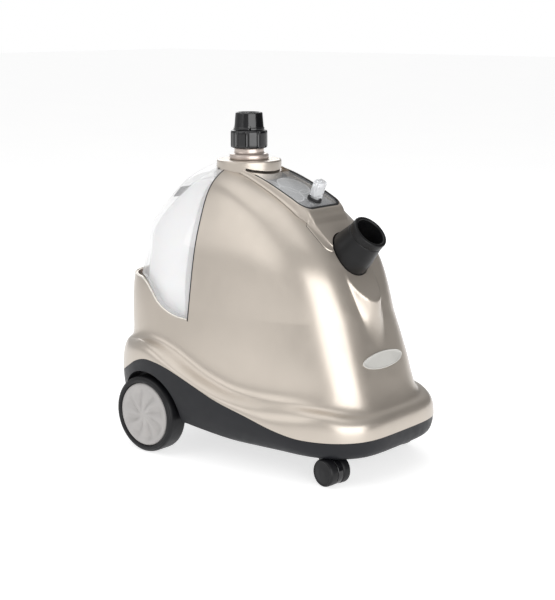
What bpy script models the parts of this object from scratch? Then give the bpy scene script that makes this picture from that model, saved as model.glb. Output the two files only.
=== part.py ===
"""Garment steamer base: rolling body with a lift-out water tank, pole socket and steam hose socket.

Units in this file are millimetres; MM turns them into Blender's metres when a mesh is made.
+Z is up and the front faces -Y. Lengths along Y are measured from a line ORIGIN_Y in front of the middle of
the body; the finished origin is on the floor, under that middle.
"""

import math

import bpy
from mathutils import Vector

MM = 0.001
GAP = 0.3

# Driving dimensions of the body's outline, seen from above.
FRONT_Y = -158.0
REAR_Y = 208.0
ORIGIN_Y = (FRONT_Y + REAR_Y) / 2
SKIRT_HALF_WIDTH = 124.4
SKIRT_TAPER = 0.12
SKIRT_FRONT_POWER = 4.3
SKIRT_REAR_POWER = 3.1
WALL = 2.6
AROUND = 36
HOLLOW_AROUND = 40
PHASE = 0.37

# Wheels.
WHEEL_RADIUS = 45.0
WHEEL_WIDTH = 26.0
WHEEL_Y = 120.5
WHEEL_INNER_X = 107.0
WHEEL_OUTER_X = WHEEL_INNER_X + WHEEL_WIDTH
WELL_RADIUS = 51.0
AXLE_RADIUS = 4.0
CASTER_X = 77.0
CASTER_Y = -105.0
CASTER_RADIUS = 15.3
CASTER_TRAIL = 13.0
CASTER_RECESS_RADIUS = 26.5
CASTER_RECESS_Z = 31.5

# Floor of the base pan.
FLOOR_LINE = ((-100.0, 29.0), (-8.0, 31.5), (62.0, 43.0))
FLOOR_FRONT = FLOOR_LINE[0][1]
FLOOR_REAR = FLOOR_LINE[-1][1]
FLOOR_THICK = 3.0
# The pan's section, from the floor up to the skirt's edge: distance in from the edge, share of its depth.
PAN_SIDE = ((26.0, 1.0), (18.0, 0.965), (10.0, 0.85), (4.5, 0.6), (1.4, 0.28), (0.3, 0.0))
PAN_FRONT = ((23.0, 1.0), (14.0, 0.985), (7.0, 0.9), (3.2, 0.7), (1.2, 0.38), (0.3, 0.0))
RIB_REACH = 27.0
DRAIN_Y = 84.0

# Water tank.
SEAM_Y = 76.0
CUP_RIM = ((SEAM_Y, 160), (96, 162), (112, 167), (126, 175), (138, 186), (150, 195), (164, 199), (300, 200))
CUP_TOP_Z = 200.0
TANK_STEP = 11.0
BAY_FLOOR_Z = 148.5
TANK_BOTTOM_Z = 150.5
CAP_Y = 142.0

# Pole socket.
POLE_Y = 70.6
PLATFORM_RADIUS = 38.0
COLUMN_RADIUS = 37.4
PLATFORM_TOP = 337.0
PLATFORM_BOTTOM = 296.0
POLE_BORE = 12.5

# Hose socket: a tube that leans forward at 45 degrees in the plane X = 0.
HOSE_MOUTH = (0.0, -108.0, 269.0)
HOSE_RADIUS = 21.5
HOSE_BORE = 17.0
NOSE_RADIUS = 22.0
NOSE_Y = -96.0
HOSE_LENGTH = 54.0
NOSE_SLANT = -47.0
POCKET_RADIUS = 24.5

# Boiler and the parts round it.
BOILER_Y = -20.0
BOILER_FOOT_Z = 62.0
SHIELD_Z = 44.0
POST_REACH = 52.5
POST_RADIUS = 3.0
THERMOSTAT_X = 27.0
THERMOSTAT_Z = 123.0
FUSE_LOW = (-34, -26, 124)
FUSE_HIGH = (-22, -14, 129)
TERMINAL_LOW = (34, 64, FLOOR_REAR + FLOOR_THICK + GAP)
TERMINAL_HIGH = (66, 74, 60)

# Oval plate on the front.
BADGE_Z = 127.0
BADGE_HALF = (36.0, 9.0)

# Body wall above the skirt: height, front, rear, half width, taper, front power, rear power.
BODY_SECTIONS = (
    (78, -142, 193, 103.0, 0.12, 4.0, 3.6),
    (130, -127, 195, 103.0, 0.10, 3.7, 3.8),
    (165, -115, 199, 99.0, 0.08, 3.3, 4.0),
    (200, -102, 202, 95.0, 0.06, 3.6, 3.8),
    (228, -90, 200, 91.0, 0.04, 3.7, 3.2),
    (250, -77, 198, 86.5, 0.03, 3.4, 3.0),
    (270, -56, 186, 80.0, 0.02, 3.1, 2.9),
    (286, -35, 173, 74.5, 0.00, 3.0, 2.8),
    (302, -8, 157, 67.5, 0.00, 2.9, 2.7),
    (315, 22, 143, 59.0, 0.00, 2.7, 2.6),
    (324, 42, 132, 48.0, 0.00, 2.5, 2.5),
    (331, 56, 118, 34.0, 0.00, 2.3, 2.3),
    (335, 68, 104, 18.0, 0.00, 2.2, 2.2),
)
UPPER_HEIGHTS = (196, 222, 243, 260, 276, 290, 303, 314, 323, 330, 335)
# Height of the skirt's lower edge, and of the crease where the wall meets the skirt, along Y.
EDGE_HEIGHT = (
    (-160, 51.5), (-95, 51.5), (-63, 57), (-25, 68), (14, 79), (46, 92), (68, 101), (87, 107.5),
    (105, 111), (121, 111.5), (139, 106), (160, 94), (180, 85), (210, 81),
)
CREASE_HEIGHT = (
    (-160, 76), (-142, 77), (-115, 82), (-85, 84), (-50, 84), (-20, 85), (10, 89), (40, 98), (65, 109),
    (88, 120), (110, 128), (132, 131), (160, 127), (210, 122),
)
# The raised spine's top line, from the pole platform to the window's front edge.
SPINE_TOP = ((75, 333), (51, 328), (20, 319), (-16, 304), (-46, 289), (-60, 281))

MATERIALS = {
    "champagne": ((0.66, 0.58, 0.49), 0.28, 0.55),
    "charcoal": ((0.035, 0.035, 0.042), 0.45, 0.0),
    "black_gloss": ((0.012, 0.012, 0.013), 0.22, 0.0),
    "rubber": ((0.02, 0.02, 0.02), 0.75, 0.0),
    "cream": ((0.78, 0.73, 0.67), 0.4, 0.0),
    "clear": ((0.85, 0.88, 0.9), 0.08, 0.0),
    "frosted": ((0.93, 0.94, 0.96), 0.4, 0.0),
    "silver": ((0.6, 0.61, 0.62), 0.3, 0.7),
    "aluminium": ((0.62, 0.62, 0.63), 0.45, 1.0),
    "steel": ((0.55, 0.55, 0.56), 0.3, 1.0),
    "brass": ((0.7, 0.5, 0.2), 0.3, 1.0),
    "silicone": ((0.75, 0.75, 0.72), 0.6, 0.0),
    "ceramic": ((0.85, 0.83, 0.78), 0.6, 0.0),
}


def clear_scene():
    for obj in list(bpy.data.objects):
        bpy.data.objects.remove(obj, do_unlink=True)


def material(name):
    found = bpy.data.materials.get(name)
    if found:
        return found
    colour, roughness, metallic = MATERIALS[name]
    made = bpy.data.materials.new(name)
    made.use_nodes = True
    shader = made.node_tree.nodes["Principled BSDF"]
    shader.inputs["Base Color"].default_value = (*colour, 1.0)
    shader.inputs["Roughness"].default_value = roughness
    shader.inputs["Metallic"].default_value = metallic
    return made


# ---------------------------------------------------------------- curves and outlines


def along(table, x):
    """A smooth curve through a table of (x, value), level at its two ends."""
    if x <= table[0][0]:
        return table[0][1]
    for i in range(len(table) - 1):
        x0, v0 = table[i]
        x1, v1 = table[i + 1]
        if x <= x1:
            before = table[max(i - 1, 0)]
            after = table[min(i + 2, len(table) - 1)]
            slope0 = (v1 - before[1]) / (x1 - before[0])
            slope1 = (after[1] - v0) / (after[0] - x0)
            span = x1 - x0
            u = (x - x0) / span
            return (
                v0 * (2 * u**3 - 3 * u**2 + 1)
                + v1 * (3 * u**2 - 2 * u**3)
                + span * (slope0 * (u**3 - 2 * u**2 + u) + slope1 * (u**3 - u**2))
            )
    return table[-1][1]


def smooth(low, high, x):
    u = min(max((x - low) / (high - low), 0.0), 1.0)
    return u * u * (3 - 2 * u)


def egg(t, front, rear, half_width, taper, front_power, rear_power):
    """A point of a tapered superellipse, seen from its middle at angle t from +X."""
    middle = (front + rear) / 2
    n = front_power if math.sin(t) < 0 else rear_power
    reach = (abs(math.cos(t)) ** n + abs(math.sin(t)) ** n) ** (-1 / n)
    y = middle + (rear - front) / 2 * reach * math.sin(t)
    x = (half_width + taper * (y - middle)) * reach * math.cos(t)
    return x, y


def turn_angles(count, inset=0.0):
    """Angles round an outline. Inner forms are turned by half a step, so no two edges meet."""
    shift = 0.5 if inset > 0 else 0.0
    return [(i + shift) * math.tau / count for i in range(count)]


def body_section(z):
    """The body's section parameters at height z, between the rows of the table."""
    return [along([(row[0], row[i]) for row in BODY_SECTIONS], z) for i in range(1, 7)]


def body_point(t, z, inset, step=0.0):
    """A point of the body's wall at height z, moved inwards and, near the top, down. The step brings the rear
    forward below the height where the tank meets the cup."""
    front, rear, half_width, taper, front_power, rear_power = body_section(z)
    rear -= step * (1 - smooth(200, 262, z))
    half_width = max(half_width - inset, 2.0)
    x, y = egg(t, front + inset, rear - inset, half_width, taper, front_power, rear_power)
    return x, y, z - inset * smooth(200, 330, z)


def skirt_point(t, inset):
    half_width = SKIRT_HALF_WIDTH - inset
    powers = (SKIRT_FRONT_POWER, SKIRT_REAR_POWER)
    return egg(t, FRONT_Y + inset, REAR_Y - inset, half_width, SKIRT_TAPER, *powers)


# ---------------------------------------------------------------- mesh builders


def make(name, points, faces, finish, place=(0, 0, 0), turn=(0, 0, 0)):
    """One named object from points in millimetres."""
    mesh = bpy.data.meshes.new(name)
    mesh.from_pydata([[c * MM for c in p] for p in points], [], faces)
    mesh.validate()
    obj = bpy.data.objects.new(name, mesh)
    bpy.context.scene.collection.objects.link(obj)
    obj.location = (place[0] * MM, (place[1] - ORIGIN_Y) * MM, place[2] * MM)
    obj.rotation_euler = turn
    if finish:
        mesh.materials.append(material(finish))
        mesh.shade_smooth()
        mesh.set_sharp_from_angle(angle=math.radians(35))
    else:
        obj.hide_render = True
        obj.display_type = "WIRE"
    return obj


def loft(name, rings, finish, **placing):
    """A closed solid through rings of equal length, listed from the bottom up, each turning left."""
    count = len(rings[0])
    points = [p for ring in rings for p in ring]
    faces = []
    for level in range(len(rings) - 1):
        low, high = level * count, (level + 1) * count
        for i in range(count):
            j = (i + 1) % count
            faces.append((low + i, low + j, high + j, high + i))
    for ring, start, bottom in ((rings[0], 0, True), (rings[-1], (len(rings) - 1) * count, False)):
        centre = len(points)
        points.append([sum(p[axis] for p in ring) / count for axis in range(3)])
        for i in range(count):
            j = (i + 1) % count
            faces.append((start + j, start + i, centre) if bottom else (start + i, start + j, centre))
    return make(name, points, faces, finish, **placing)


def turned(name, profile, finish, segments=32, phase=PHASE, **placing):
    """A solid of revolution about local Z. The profile's (radius, height) points run up the outer side and,
    if it starts or ends off the axis, back down the inner one."""
    turns = [(i + phase) * math.tau / segments for i in range(segments)]
    rings = [[(r * math.cos(a), r * math.sin(a), z) for a in turns] for r, z in profile if r > 0]
    if profile[0][0] > 0:
        return closed_loft(name, rings, finish, **placing)
    points = [p for ring in rings for p in ring]
    faces = []
    for level in range(len(rings) - 1):
        for i in range(segments):
            j = (i + 1) % segments
            low, high = level * segments, (level + 1) * segments
            faces.append((low + i, low + j, high + j, high + i))
    bottom, top = len(points), len(points) + 1
    points += [(0, 0, profile[0][1]), (0, 0, profile[-1][1])]
    last = (len(rings) - 1) * segments
    for i in range(segments):
        j = (i + 1) % segments
        faces.append((j, i, bottom))
        faces.append((last + i, last + j, top))
    return make(name, points, faces, finish, **placing)


def closed_loft(name, rings, finish, **placing):
    """A ring-shaped solid: the last ring joins the first."""
    count = len(rings[0])
    points = [p for ring in rings for p in ring]
    faces = []
    for level in range(len(rings)):
        low, high = level * count, ((level + 1) % len(rings)) * count
        for i in range(count):
            j = (i + 1) % count
            faces.append((low + i, low + j, high + j, high + i))
    return make(name, points, faces, finish, **placing)


def rod(name, radius, low, high, finish, segments=20, **placing):
    return turned(name, [(0, low), (radius, low), (radius, high), (0, high)], finish, segments, **placing)


def block(name, low, high, finish, **placing):
    (x0, y0, z0), (x1, y1, z1) = low, high
    rings = [[(x0, y0, z), (x1, y0, z), (x1, y1, z), (x0, y1, z)] for z in (z0, z1)]
    return loft(name, rings, finish, **placing)


def boolean(obj, operation, other):
    modifier = obj.modifiers.new(other.name, "BOOLEAN")
    modifier.operation = operation
    modifier.solver = "EXACT"
    modifier.object = other
    return obj


def cut(obj, *others):
    for other in others:
        boolean(obj, "DIFFERENCE", other)
    return obj


def keep(obj, *others):
    for other in others:
        boolean(obj, "INTERSECT", other)
    return obj


def add(obj, *others):
    for other in others:
        boolean(obj, "UNION", other)
    return obj


def bevel(obj, width, segments=2, angle=40):
    modifier = obj.modifiers.new("bevel", "BEVEL")
    modifier.width = width * MM
    modifier.segments = segments
    modifier.limit_method = "ANGLE"
    modifier.angle_limit = math.radians(angle)
    return obj


def tube(name, route, radius, finish, sides_step=3, point_step=5.0):
    """A curve object along a smooth line through the route's points."""
    line = [Vector(p) for p in route]
    padded = [2 * line[0] - line[1], *line, 2 * line[-1] - line[-2]]
    points = []
    for a, b, c, d in zip(padded, padded[1:], padded[2:], padded[3:]):
        steps = max(2, round((c - b).length / point_step))
        for i in range(steps):
            u = i / steps
            points.append(
                0.5 * (2 * b + (c - a) * u + (2 * a - 5 * b + 4 * c - d) * u**2 + (3 * b - a - 3 * c + d) * u**3)
            )
    points.append(line[-1])
    curve = bpy.data.curves.new(name, "CURVE")
    curve.dimensions = "3D"
    curve.bevel_depth = radius * MM
    curve.bevel_resolution = sides_step
    curve.use_fill_caps = True
    spline = curve.splines.new("POLY")
    spline.points.add(len(points) - 1)
    for point, place in zip(spline.points, points):
        point.co = (*(place * MM), 1)
    curve.materials.append(material(finish))
    obj = bpy.data.objects.new(name, curve)
    obj.location.y = -ORIGIN_Y * MM
    bpy.context.scene.collection.objects.link(obj)
    return obj


# ---------------------------------------------------------------- housing


def dome(name, inset, low, finish=None, around=AROUND, step=0.0, straight_below=0.0):
    """The body's wall as a solid, from height low to its top. It can go straight down below some height."""
    rings = []
    for z in [low] + [z for z in (165, *UPPER_HEIGHTS) if z > low + 3]:
        drop = max(straight_below - z, 0)
        ring = [body_point(t, z + drop, inset, step) for t in turn_angles(around, inset)]
        rings.append([(x, y, height - drop) for x, y, height in ring])
    return loft(name, rings, finish)


def skirt_rings(inset, around=AROUND):
    """Rings of the skirt, from its lower edge up over its shoulder and in along the shelf to the wall's foot."""
    steps = ((0.0, 0.0, 0.0), (0.4, 0.0, 0.45), (2.5, 0.0, 0.7), (3.0, 0.3, 0.86), (3.0, 0.65, 0.95), (3.0, 1.0, 1.0))
    rings = []
    for extra, inward, rise in steps:
        ring = []
        for t in turn_angles(around, inset):
            x, y = skirt_point(t, inset + extra)
            foot_x, foot_y, _ = body_point(t, along(CREASE_HEIGHT, y), inset)
            x += (foot_x - x) * inward
            y += (foot_y - y) * inward
            edge = along(EDGE_HEIGHT, y)
            crease = along(CREASE_HEIGHT, y)
            drop = inset * (1.3 * smooth(0.1, 0.8, rise) - 0.4 * (1 - smooth(0.0, 0.3, rise)))
            ring.append((x, y, edge + (crease - edge) * rise - drop))
        rings.append(ring)
    return rings


def housing_solid(name, inset, low, finish=None):
    """The whole outer form of the housing. Its lowest ring goes straight down to low from the skirt's edge."""
    rings = skirt_rings(inset)
    if low is not None:
        rings.insert(0, [(x, y, low) for x, y, _ in rings[0]])
    for share in (0.12, 0.5):
        ring = []
        for t in turn_angles(AROUND, inset):
            _, y = skirt_point(t, 19)
            crease = along(CREASE_HEIGHT, y) - 1.3 * inset
            ring.append(body_point(t, crease + share * (165 - crease), inset))
        rings.append(ring)
    for z in (165, *UPPER_HEIGHTS):
        rings.append([body_point(t, z, inset) for t in turn_angles(AROUND, inset)])
    return loft(name, rings, finish)


def spine_profile(y, drop=0.0):
    return along(SPINE_TOP[::-1], y) - drop


def ribbon(name, rear, front, half_width, top, thick, corner, finish=None):
    """A slab that follows the spine's top line, with rounded front corners, top below that line."""
    stations = [rear + (front + corner - rear) * i / 8 for i in range(9)]
    stations += [front + corner * (1 - math.sin(a)) for a in (0.5, 0.9, 1.25, math.pi / 2)]
    rings = []
    for y in stations:
        into = max(0.0, (front + corner - y) / corner)
        half = half_width - corner + corner * math.sqrt(max(0.0, 1 - into * into))
        z = spine_profile(y, top)
        rings.append([(half, y, z - thick), (half, y, z), (-half, y, z), (-half, y, z - thick)])
    return loft(name, rings, finish)


def hose_frame():
    """Place and turn for a piece whose local Z is the hose socket's axis, with its mouth at the origin."""
    return {"place": HOSE_MOUTH, "turn": (math.radians(45), 0, 0)}


def build_spine():
    """The raised champagne strip, from the platform forward round the window and down a drop behind the hose."""
    stations = ((74, 20), (51, 22), (35, 24), (20, 26), (2, 28), (-16, 30), (-32, 32), (-42, 33))
    rings = []
    for y, depth in stations:
        z = spine_profile(y)
        rings.append(spine_ring(y, z, z - depth, 37.0, 43.0))
    rings.append(spine_ring(-47.5, spine_profile(-47.5) - 1.5, 250, 36.0, 42.5))
    rings.append(spine_ring(-52, 281, 244, 34.0, 41.0))
    rings.append(spine_ring(-57, 268, 240, 31.0, 37.0))
    rings.append(spine_ring(-66, 254, 236, 27.0, 31.0))
    rings.append(spine_ring(-82, 247, 230, 24.0, 26.0))
    spine = loft("spine_cover", rings, "champagne")
    return spine


def spine_ring(y, top, bottom, half_top, half_bottom, corner=5.0):
    """One cross-section of the spine: an arch with rounded shoulders."""
    right = [(half_bottom, y, bottom)]
    for a in (0, 30, 60, 90):
        angle = math.radians(a)
        right.append(
            (half_top - corner + corner * math.cos(angle), y, top - corner + corner * math.sin(angle))
        )
    return right + [(-x, y, z) for x, y, z in right[::-1]]


def build_housing():
    outer = housing_solid("housing_shell", 0.0, None, "champagne")
    nose = rod("nose_form", NOSE_RADIUS, 140, 290, None, 36, place=(0, NOSE_Y, 0))
    add(outer, cut(nose, block("nose_slant", (-60, -90, NOSE_SLANT), (60, 90, 60), None, **hose_frame())))
    inner = housing_solid("housing_hollow", WALL, 20)
    tank_space = cup_solid("tank_space", 0.0)
    platform_hole = rod("platform_hole", PLATFORM_RADIUS + GAP, 280, 400, None, 48, place=(0, POLE_Y, 0))
    window_space = ribbon("window_space", 60, -43.5, 34.3, -3, 12.5, 13)
    socket_hole = rod("socket_hole", POCKET_RADIUS, -HOSE_LENGTH, 14, None, 40, **hose_frame())
    pilots = []
    for i, (x, y) in enumerate(screw_places()):
        low = floor_at(y) + FLOOR_THICK + 0.5
        rib_low = along(EDGE_HEIGHT, y) + 4
        side = math.copysign(1, x)
        rib = block(f"rib_form_{i}", (0, -1.3, rib_low), (RIB_REACH, 1.3, rib_low + 24), None, place=(x, y, 0),
                    turn=(0, 0, 0 if side > 0 else math.pi))
        cut(inner, rod(f"post_form_{i}", 5.5, low, rib_low + 24, None, 16, place=(x, y, 0)), rib)
        pilots.append(rod(f"post_pilot_{i}", 2.3, 0, floor_at(y) + 22, None, 12, place=(x, y, 0)))
    knob_space = rod("knob_space", 5.5, -14, 0, None, 16, **knob_frame())
    cut(outer, inner, tank_space, platform_hole, window_space, socket_hole, knob_space, *pilots)

    spine = build_spine()
    outside = housing_solid("housing_over", -GAP, None)
    cut(spine, outside, platform_hole, window_space, socket_hole)


def cup_solid(name, lower):
    """Everything above the cup's rim and behind the seam, as a solid."""
    ring = [(y, z - lower) for y, z in CUP_RIM] + [(300, 400), (SEAM_Y + lower, 400)]
    ring[0] = (SEAM_Y + lower, ring[0][1])
    left, right = ([(x, y, z) for y, z in ring] for x in (-200, 200))
    return loft(name, [left, right], None)


def cup_wall(name, depth):
    """Everything below the cup's rim behind the seam, as a solid."""
    ring = [(SEAM_Y - 10, CUP_RIM[0][1] + GAP * 2)] + [(y, z + GAP * 2) for y, z in CUP_RIM]
    ring += [(300, CUP_RIM[0][1] - depth), (SEAM_Y - 10, CUP_RIM[0][1] - depth)]
    left, right = ([(x, y, z) for y, z in ring[::-1]] for x in (-210, 210))
    return loft(name, [left, right], None)


def build_bay():
    """The black tray and wall that the tank stands against, with half a column under the pole."""
    bay = block("tank_bay", (-200, SEAM_Y - 3, BAY_FLOOR_Z - 2.5), (200, 300, 400), "charcoal")
    space = block("bay_space", (-250, SEAM_Y - 0.5, BAY_FLOOR_Z), (250, 350, 450), None)
    cut(space, rod("column_form", COLUMN_RADIUS, 100, PLATFORM_BOTTOM - GAP, None, 48, place=(0, POLE_Y, 0)))
    keep(bay, dome("bay_limit", WALL + 0.7, 140))
    cut(bay, space, rod("bay_notch", PLATFORM_RADIUS + 0.6, PLATFORM_BOTTOM - 0.6, 400, None, 40,
                        place=(0, POLE_Y, 0)))
    cut(bay, rod("column_hollow", COLUMN_RADIUS - 2.4, 120, PLATFORM_BOTTOM - 3, None, 48, place=(0, POLE_Y, 0)))
    cut(bay, rod("seat_hole", 24.3, 130, 160, None, 32, place=(0, CAP_Y, 0)))
    return bay


def build_badge():
    """A plain oval plate that follows the curve of the front face."""
    plate = housing_solid("front_badge", -1.5, None, "silver")
    cut(plate, housing_solid("badge_back", -GAP, None))
    rings = [
        [(BADGE_HALF[0] * math.cos(a), y, BADGE_Z + BADGE_HALF[1] * math.sin(a)) for a in turn_angles(28, 1)]
        for y in (-60, -200)
    ]
    return keep(plate, loft("badge_oval", rings, None))


# ---------------------------------------------------------------- base pan


def floor_at(y):
    """Height of the pan's underside: level at the front, two ramps, then level again."""
    for (y0, z0), (y1, z1) in zip(FLOOR_LINE, FLOOR_LINE[1:]):
        if y < y1:
            return z0 + (z1 - z0) * max((y - y0) / (y1 - y0), 0.0)
    return FLOOR_REAR


def ramp_solid(name, lift):
    """Everything under the rising part of the pan's floor, as a solid."""
    start = FLOOR_LINE[0][0]
    ring = [(y, z + lift) for y, z in FLOOR_LINE] + [
        (300, FLOOR_REAR + lift), (300, 0), (start - 60, 0), (start - 60, FLOOR_FRONT - 8 + lift),
        (start - 4, FLOOR_FRONT - 8 + lift),
    ]
    left, right = ([(x, y, z) for y, z in ring[::-1]] for x in (-200, 200))
    return loft(name, [left, right], None)


def pan_solid(name, inset, finish=None):
    """The black pan's outer form, from its floor up to the skirt's edge."""
    rings = []
    for (side_extra, side_depth), (front_extra, front_depth) in zip(PAN_SIDE, PAN_FRONT):
        ring = []
        for t in turn_angles(HOLLOW_AROUND if inset else AROUND, inset):
            share = smooth(-125, -60, skirt_point(t, inset)[1])
            extra = front_extra + (side_extra - front_extra) * share
            depth = front_depth + (side_depth - front_depth) * share
            x, y = skirt_point(t, inset + extra)
            edge = along(EDGE_HEIGHT, y) - GAP - inset * 0.4
            floor = FLOOR_FRONT + inset
            ring.append((x, y, edge + (floor - edge) * depth))
        rings.append(ring)
    if inset:
        rings.append([(x, y, 200) for x, y, _ in rings[-1]])
    return cut(loft(name, rings, finish), ramp_solid(f"{name}_ramp", inset))


def screw_places():
    return ((-82, -45), (82, -45), (-90, 55), (90, 55))


def boiler_posts(label, radius, low, high):
    """Three upright rods round the boiler."""
    rods = []
    for i in range(3):
        angle = math.radians(37 + 120 * i)
        place = (POST_REACH * math.cos(angle), BOILER_Y + POST_REACH * math.sin(angle), 0)
        rods.append(rod(f"{label}_{i}", radius, low, high, None, 8, place=place))
    return rods


def build_pan():
    pan = pan_solid("base_pan", 0.0, "charcoal")
    hollow = pan_solid("pan_hollow", FLOOR_THICK)
    cut(hollow, *boiler_posts("boiler_post", POST_RADIUS, 0, BOILER_FOOT_Z - GAP))
    spaces = []
    for side, name in ((-1, "left"), (1, "right")):
        across = {"place": (0, WHEEL_Y, WHEEL_RADIUS), "turn": (0, side * math.pi / 2, 0)}
        cut(hollow, rod(f"well_form_{name}", WELL_RADIUS + 3, 97.9, 170, None, 36, **across))
        stem = {"place": (side * CASTER_X, CASTER_Y, 0)}
        cut(hollow, rod(f"caster_boss_{name}", 9, 0, 50, None, 24, **stem))
        roof_z = CASTER_RECESS_Z + FLOOR_THICK
        cut(hollow, rod(f"caster_roof_{name}", CASTER_RECESS_RADIUS + 3, 0, roof_z, None, 36, **stem))
        spaces.append(rod(f"well_space_{name}", WELL_RADIUS, 103.5, 170, None, 36, **across))
        spaces.append(rod(f"stem_hole_{name}", 3.3, 20, 46, None, 20, **stem))
        spaces.append(rod(f"caster_recess_{name}", CASTER_RECESS_RADIUS, 20, CASTER_RECESS_Z, None, 36, **stem))
    cut(pan, hollow, *spaces)
    cut(pan, rod("axle_hole", AXLE_RADIUS + GAP, -120, 120, None, 20,
                 place=(0, WHEEL_Y, WHEEL_RADIUS), turn=(0, math.pi / 2, 0)))
    for i, (x, y) in enumerate(screw_places()):
        cut(pan, rod(f"screw_hole_{i}", 2.4, 20, 60, None, 12, place=(x, y, 0)))
        cut(pan, rod(f"screw_sink_{i}", 4.3, 20, floor_at(y) + 1.6, None, 16, place=(x, y, 0)))
    cut(pan, rod("drain_hole", 8.3, 20, 60, None, 20, place=(0, DRAIN_Y, 0)))
    cut(pan, rod("gland_hole", 6.3, 180, 230, None, 20, place=(-40, 0, 64), turn=(-math.pi / 2, 0, 0)))
    return pan


def build_screws():
    for i, (x, y) in enumerate(screw_places()):
        floor = floor_at(y)
        profile = [
            (0, floor + 0.2), (3.6, floor + 0.2), (3.9, floor + 0.5), (3.9, floor + 1.3),
            (2.0, floor + 1.3), (2.0, floor + 18), (0.6, floor + 19.5), (0, floor + 19.5),
        ]
        screw = turned(f"pan_screw_{i + 1}", profile, "steel", 12, place=(x, y, 0))
        low = (x - 2.6, y - 0.5, 20)
        cut(screw, block(f"screw_slot_{i}", low, (x + 2.6, y + 0.5, floor + 0.8), None))


# ---------------------------------------------------------------- wheels


def build_rear_wheels():
    rod("rear_axle", AXLE_RADIUS, -127.5, 127.5, "steel", 20,
        place=(0, WHEEL_Y, WHEEL_RADIUS), turn=(0, math.pi / 2, 0))
    tyre = [
        (37.6, 1.2), (42.5, 0), (44.4, 1.0), (WHEEL_RADIUS, 3.2), (WHEEL_RADIUS, 21.5), (44.2, 24.2),
        (42.2, 25.7), (39.5, 26.0), (37.6, 25.2),
    ]
    rim = [
        (AXLE_RADIUS + GAP, 0.8), (11, 0.8), (11, 6), (33.5, 6), (33.5, 2.5), (37.3, 2.5), (37.3, 21.2),
        (33.5, 21.2), (33.5, 10), (11, 10), (11, 19.5), (AXLE_RADIUS + GAP, 19.5),
    ]
    cap = [
        (0, 22.5), (6.0, 22.5), (6.0, 21.6), (36.9, 21.6), (37.2, 23.4), (35.5, 25.0), (20, 26.3), (0, 26.6),
    ]
    clip = [(AXLE_RADIUS + GAP, 19.8), (7.5, 19.8), (7.5, 21.3), (AXLE_RADIUS + GAP, 21.3)]
    for side, name in ((-1, "left"), (1, "right")):
        placing = {
            "place": (side * WHEEL_INNER_X, WHEEL_Y, WHEEL_RADIUS),
            "turn": (0, side * math.pi / 2, 0),
        }
        turned(f"rear_tyre_{name}", tyre, "rubber", 28, 0.0, **placing)
        turned(f"rear_rim_{name}", rim, "charcoal", 18, **placing)
        turned(f"hub_cap_{name}", cap, "cream", 28, **placing)
        clip_solid = turned(f"axle_clip_{name}", clip, "steel", 20, **placing)
        slit = block(f"clip_slit_{name}", (-1.2, 0, 19), (1.2, 10, 22), None, **placing)
        cut(clip_solid, slit)


def build_casters():
    wheel = [
        (2.4, 4.0), (14.4, 4.0), (CASTER_RADIUS, 5.2), (CASTER_RADIUS, 13.2), (13.6, 15.0), (2.4, 15.0),
    ]
    for side, name, heading in ((-1, "left", -9), (1, "right", 172)):
        swing = math.radians(heading)
        stem = (side * CASTER_X, CASTER_Y, 0)
        hub = (stem[0] + CASTER_TRAIL * math.sin(swing), stem[1] - CASTER_TRAIL * math.cos(swing), CASTER_RADIUS)
        across = {"place": hub, "turn": (0, math.pi / 2, swing)}
        fork = turned(f"caster_fork_{name}", [(0, -3.4), (12.5, -3.4), (12.5, 3.4), (0, 3.4)], "black_gloss", 24,
                      **across)
        neck = block(f"caster_neck_{name}", (-3.2, -CASTER_TRAIL - 2, 16), (3.2, 4.6, 30.6), None,
                     place=stem, turn=(0, 0, swing))
        add(fork, neck, rod(f"caster_stem_{name}", 3.0, 24, 45, None, 16, place=stem))
        cut(fork, rod(f"caster_bore_{name}", 2.4, -10, 10, None, 16, **across))
        rod(f"caster_axle_{name}", 2.1, -14.0, 14.0, "steel", 16, **across)
        for way, end in ((-1, "a"), (1, "b")):
            turned(f"caster_wheel_{name}_{end}", wheel, "rubber", 16, 0.0,
                   place=hub, turn=(0, way * math.pi / 2, swing))


# ---------------------------------------------------------------- water tank


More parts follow.
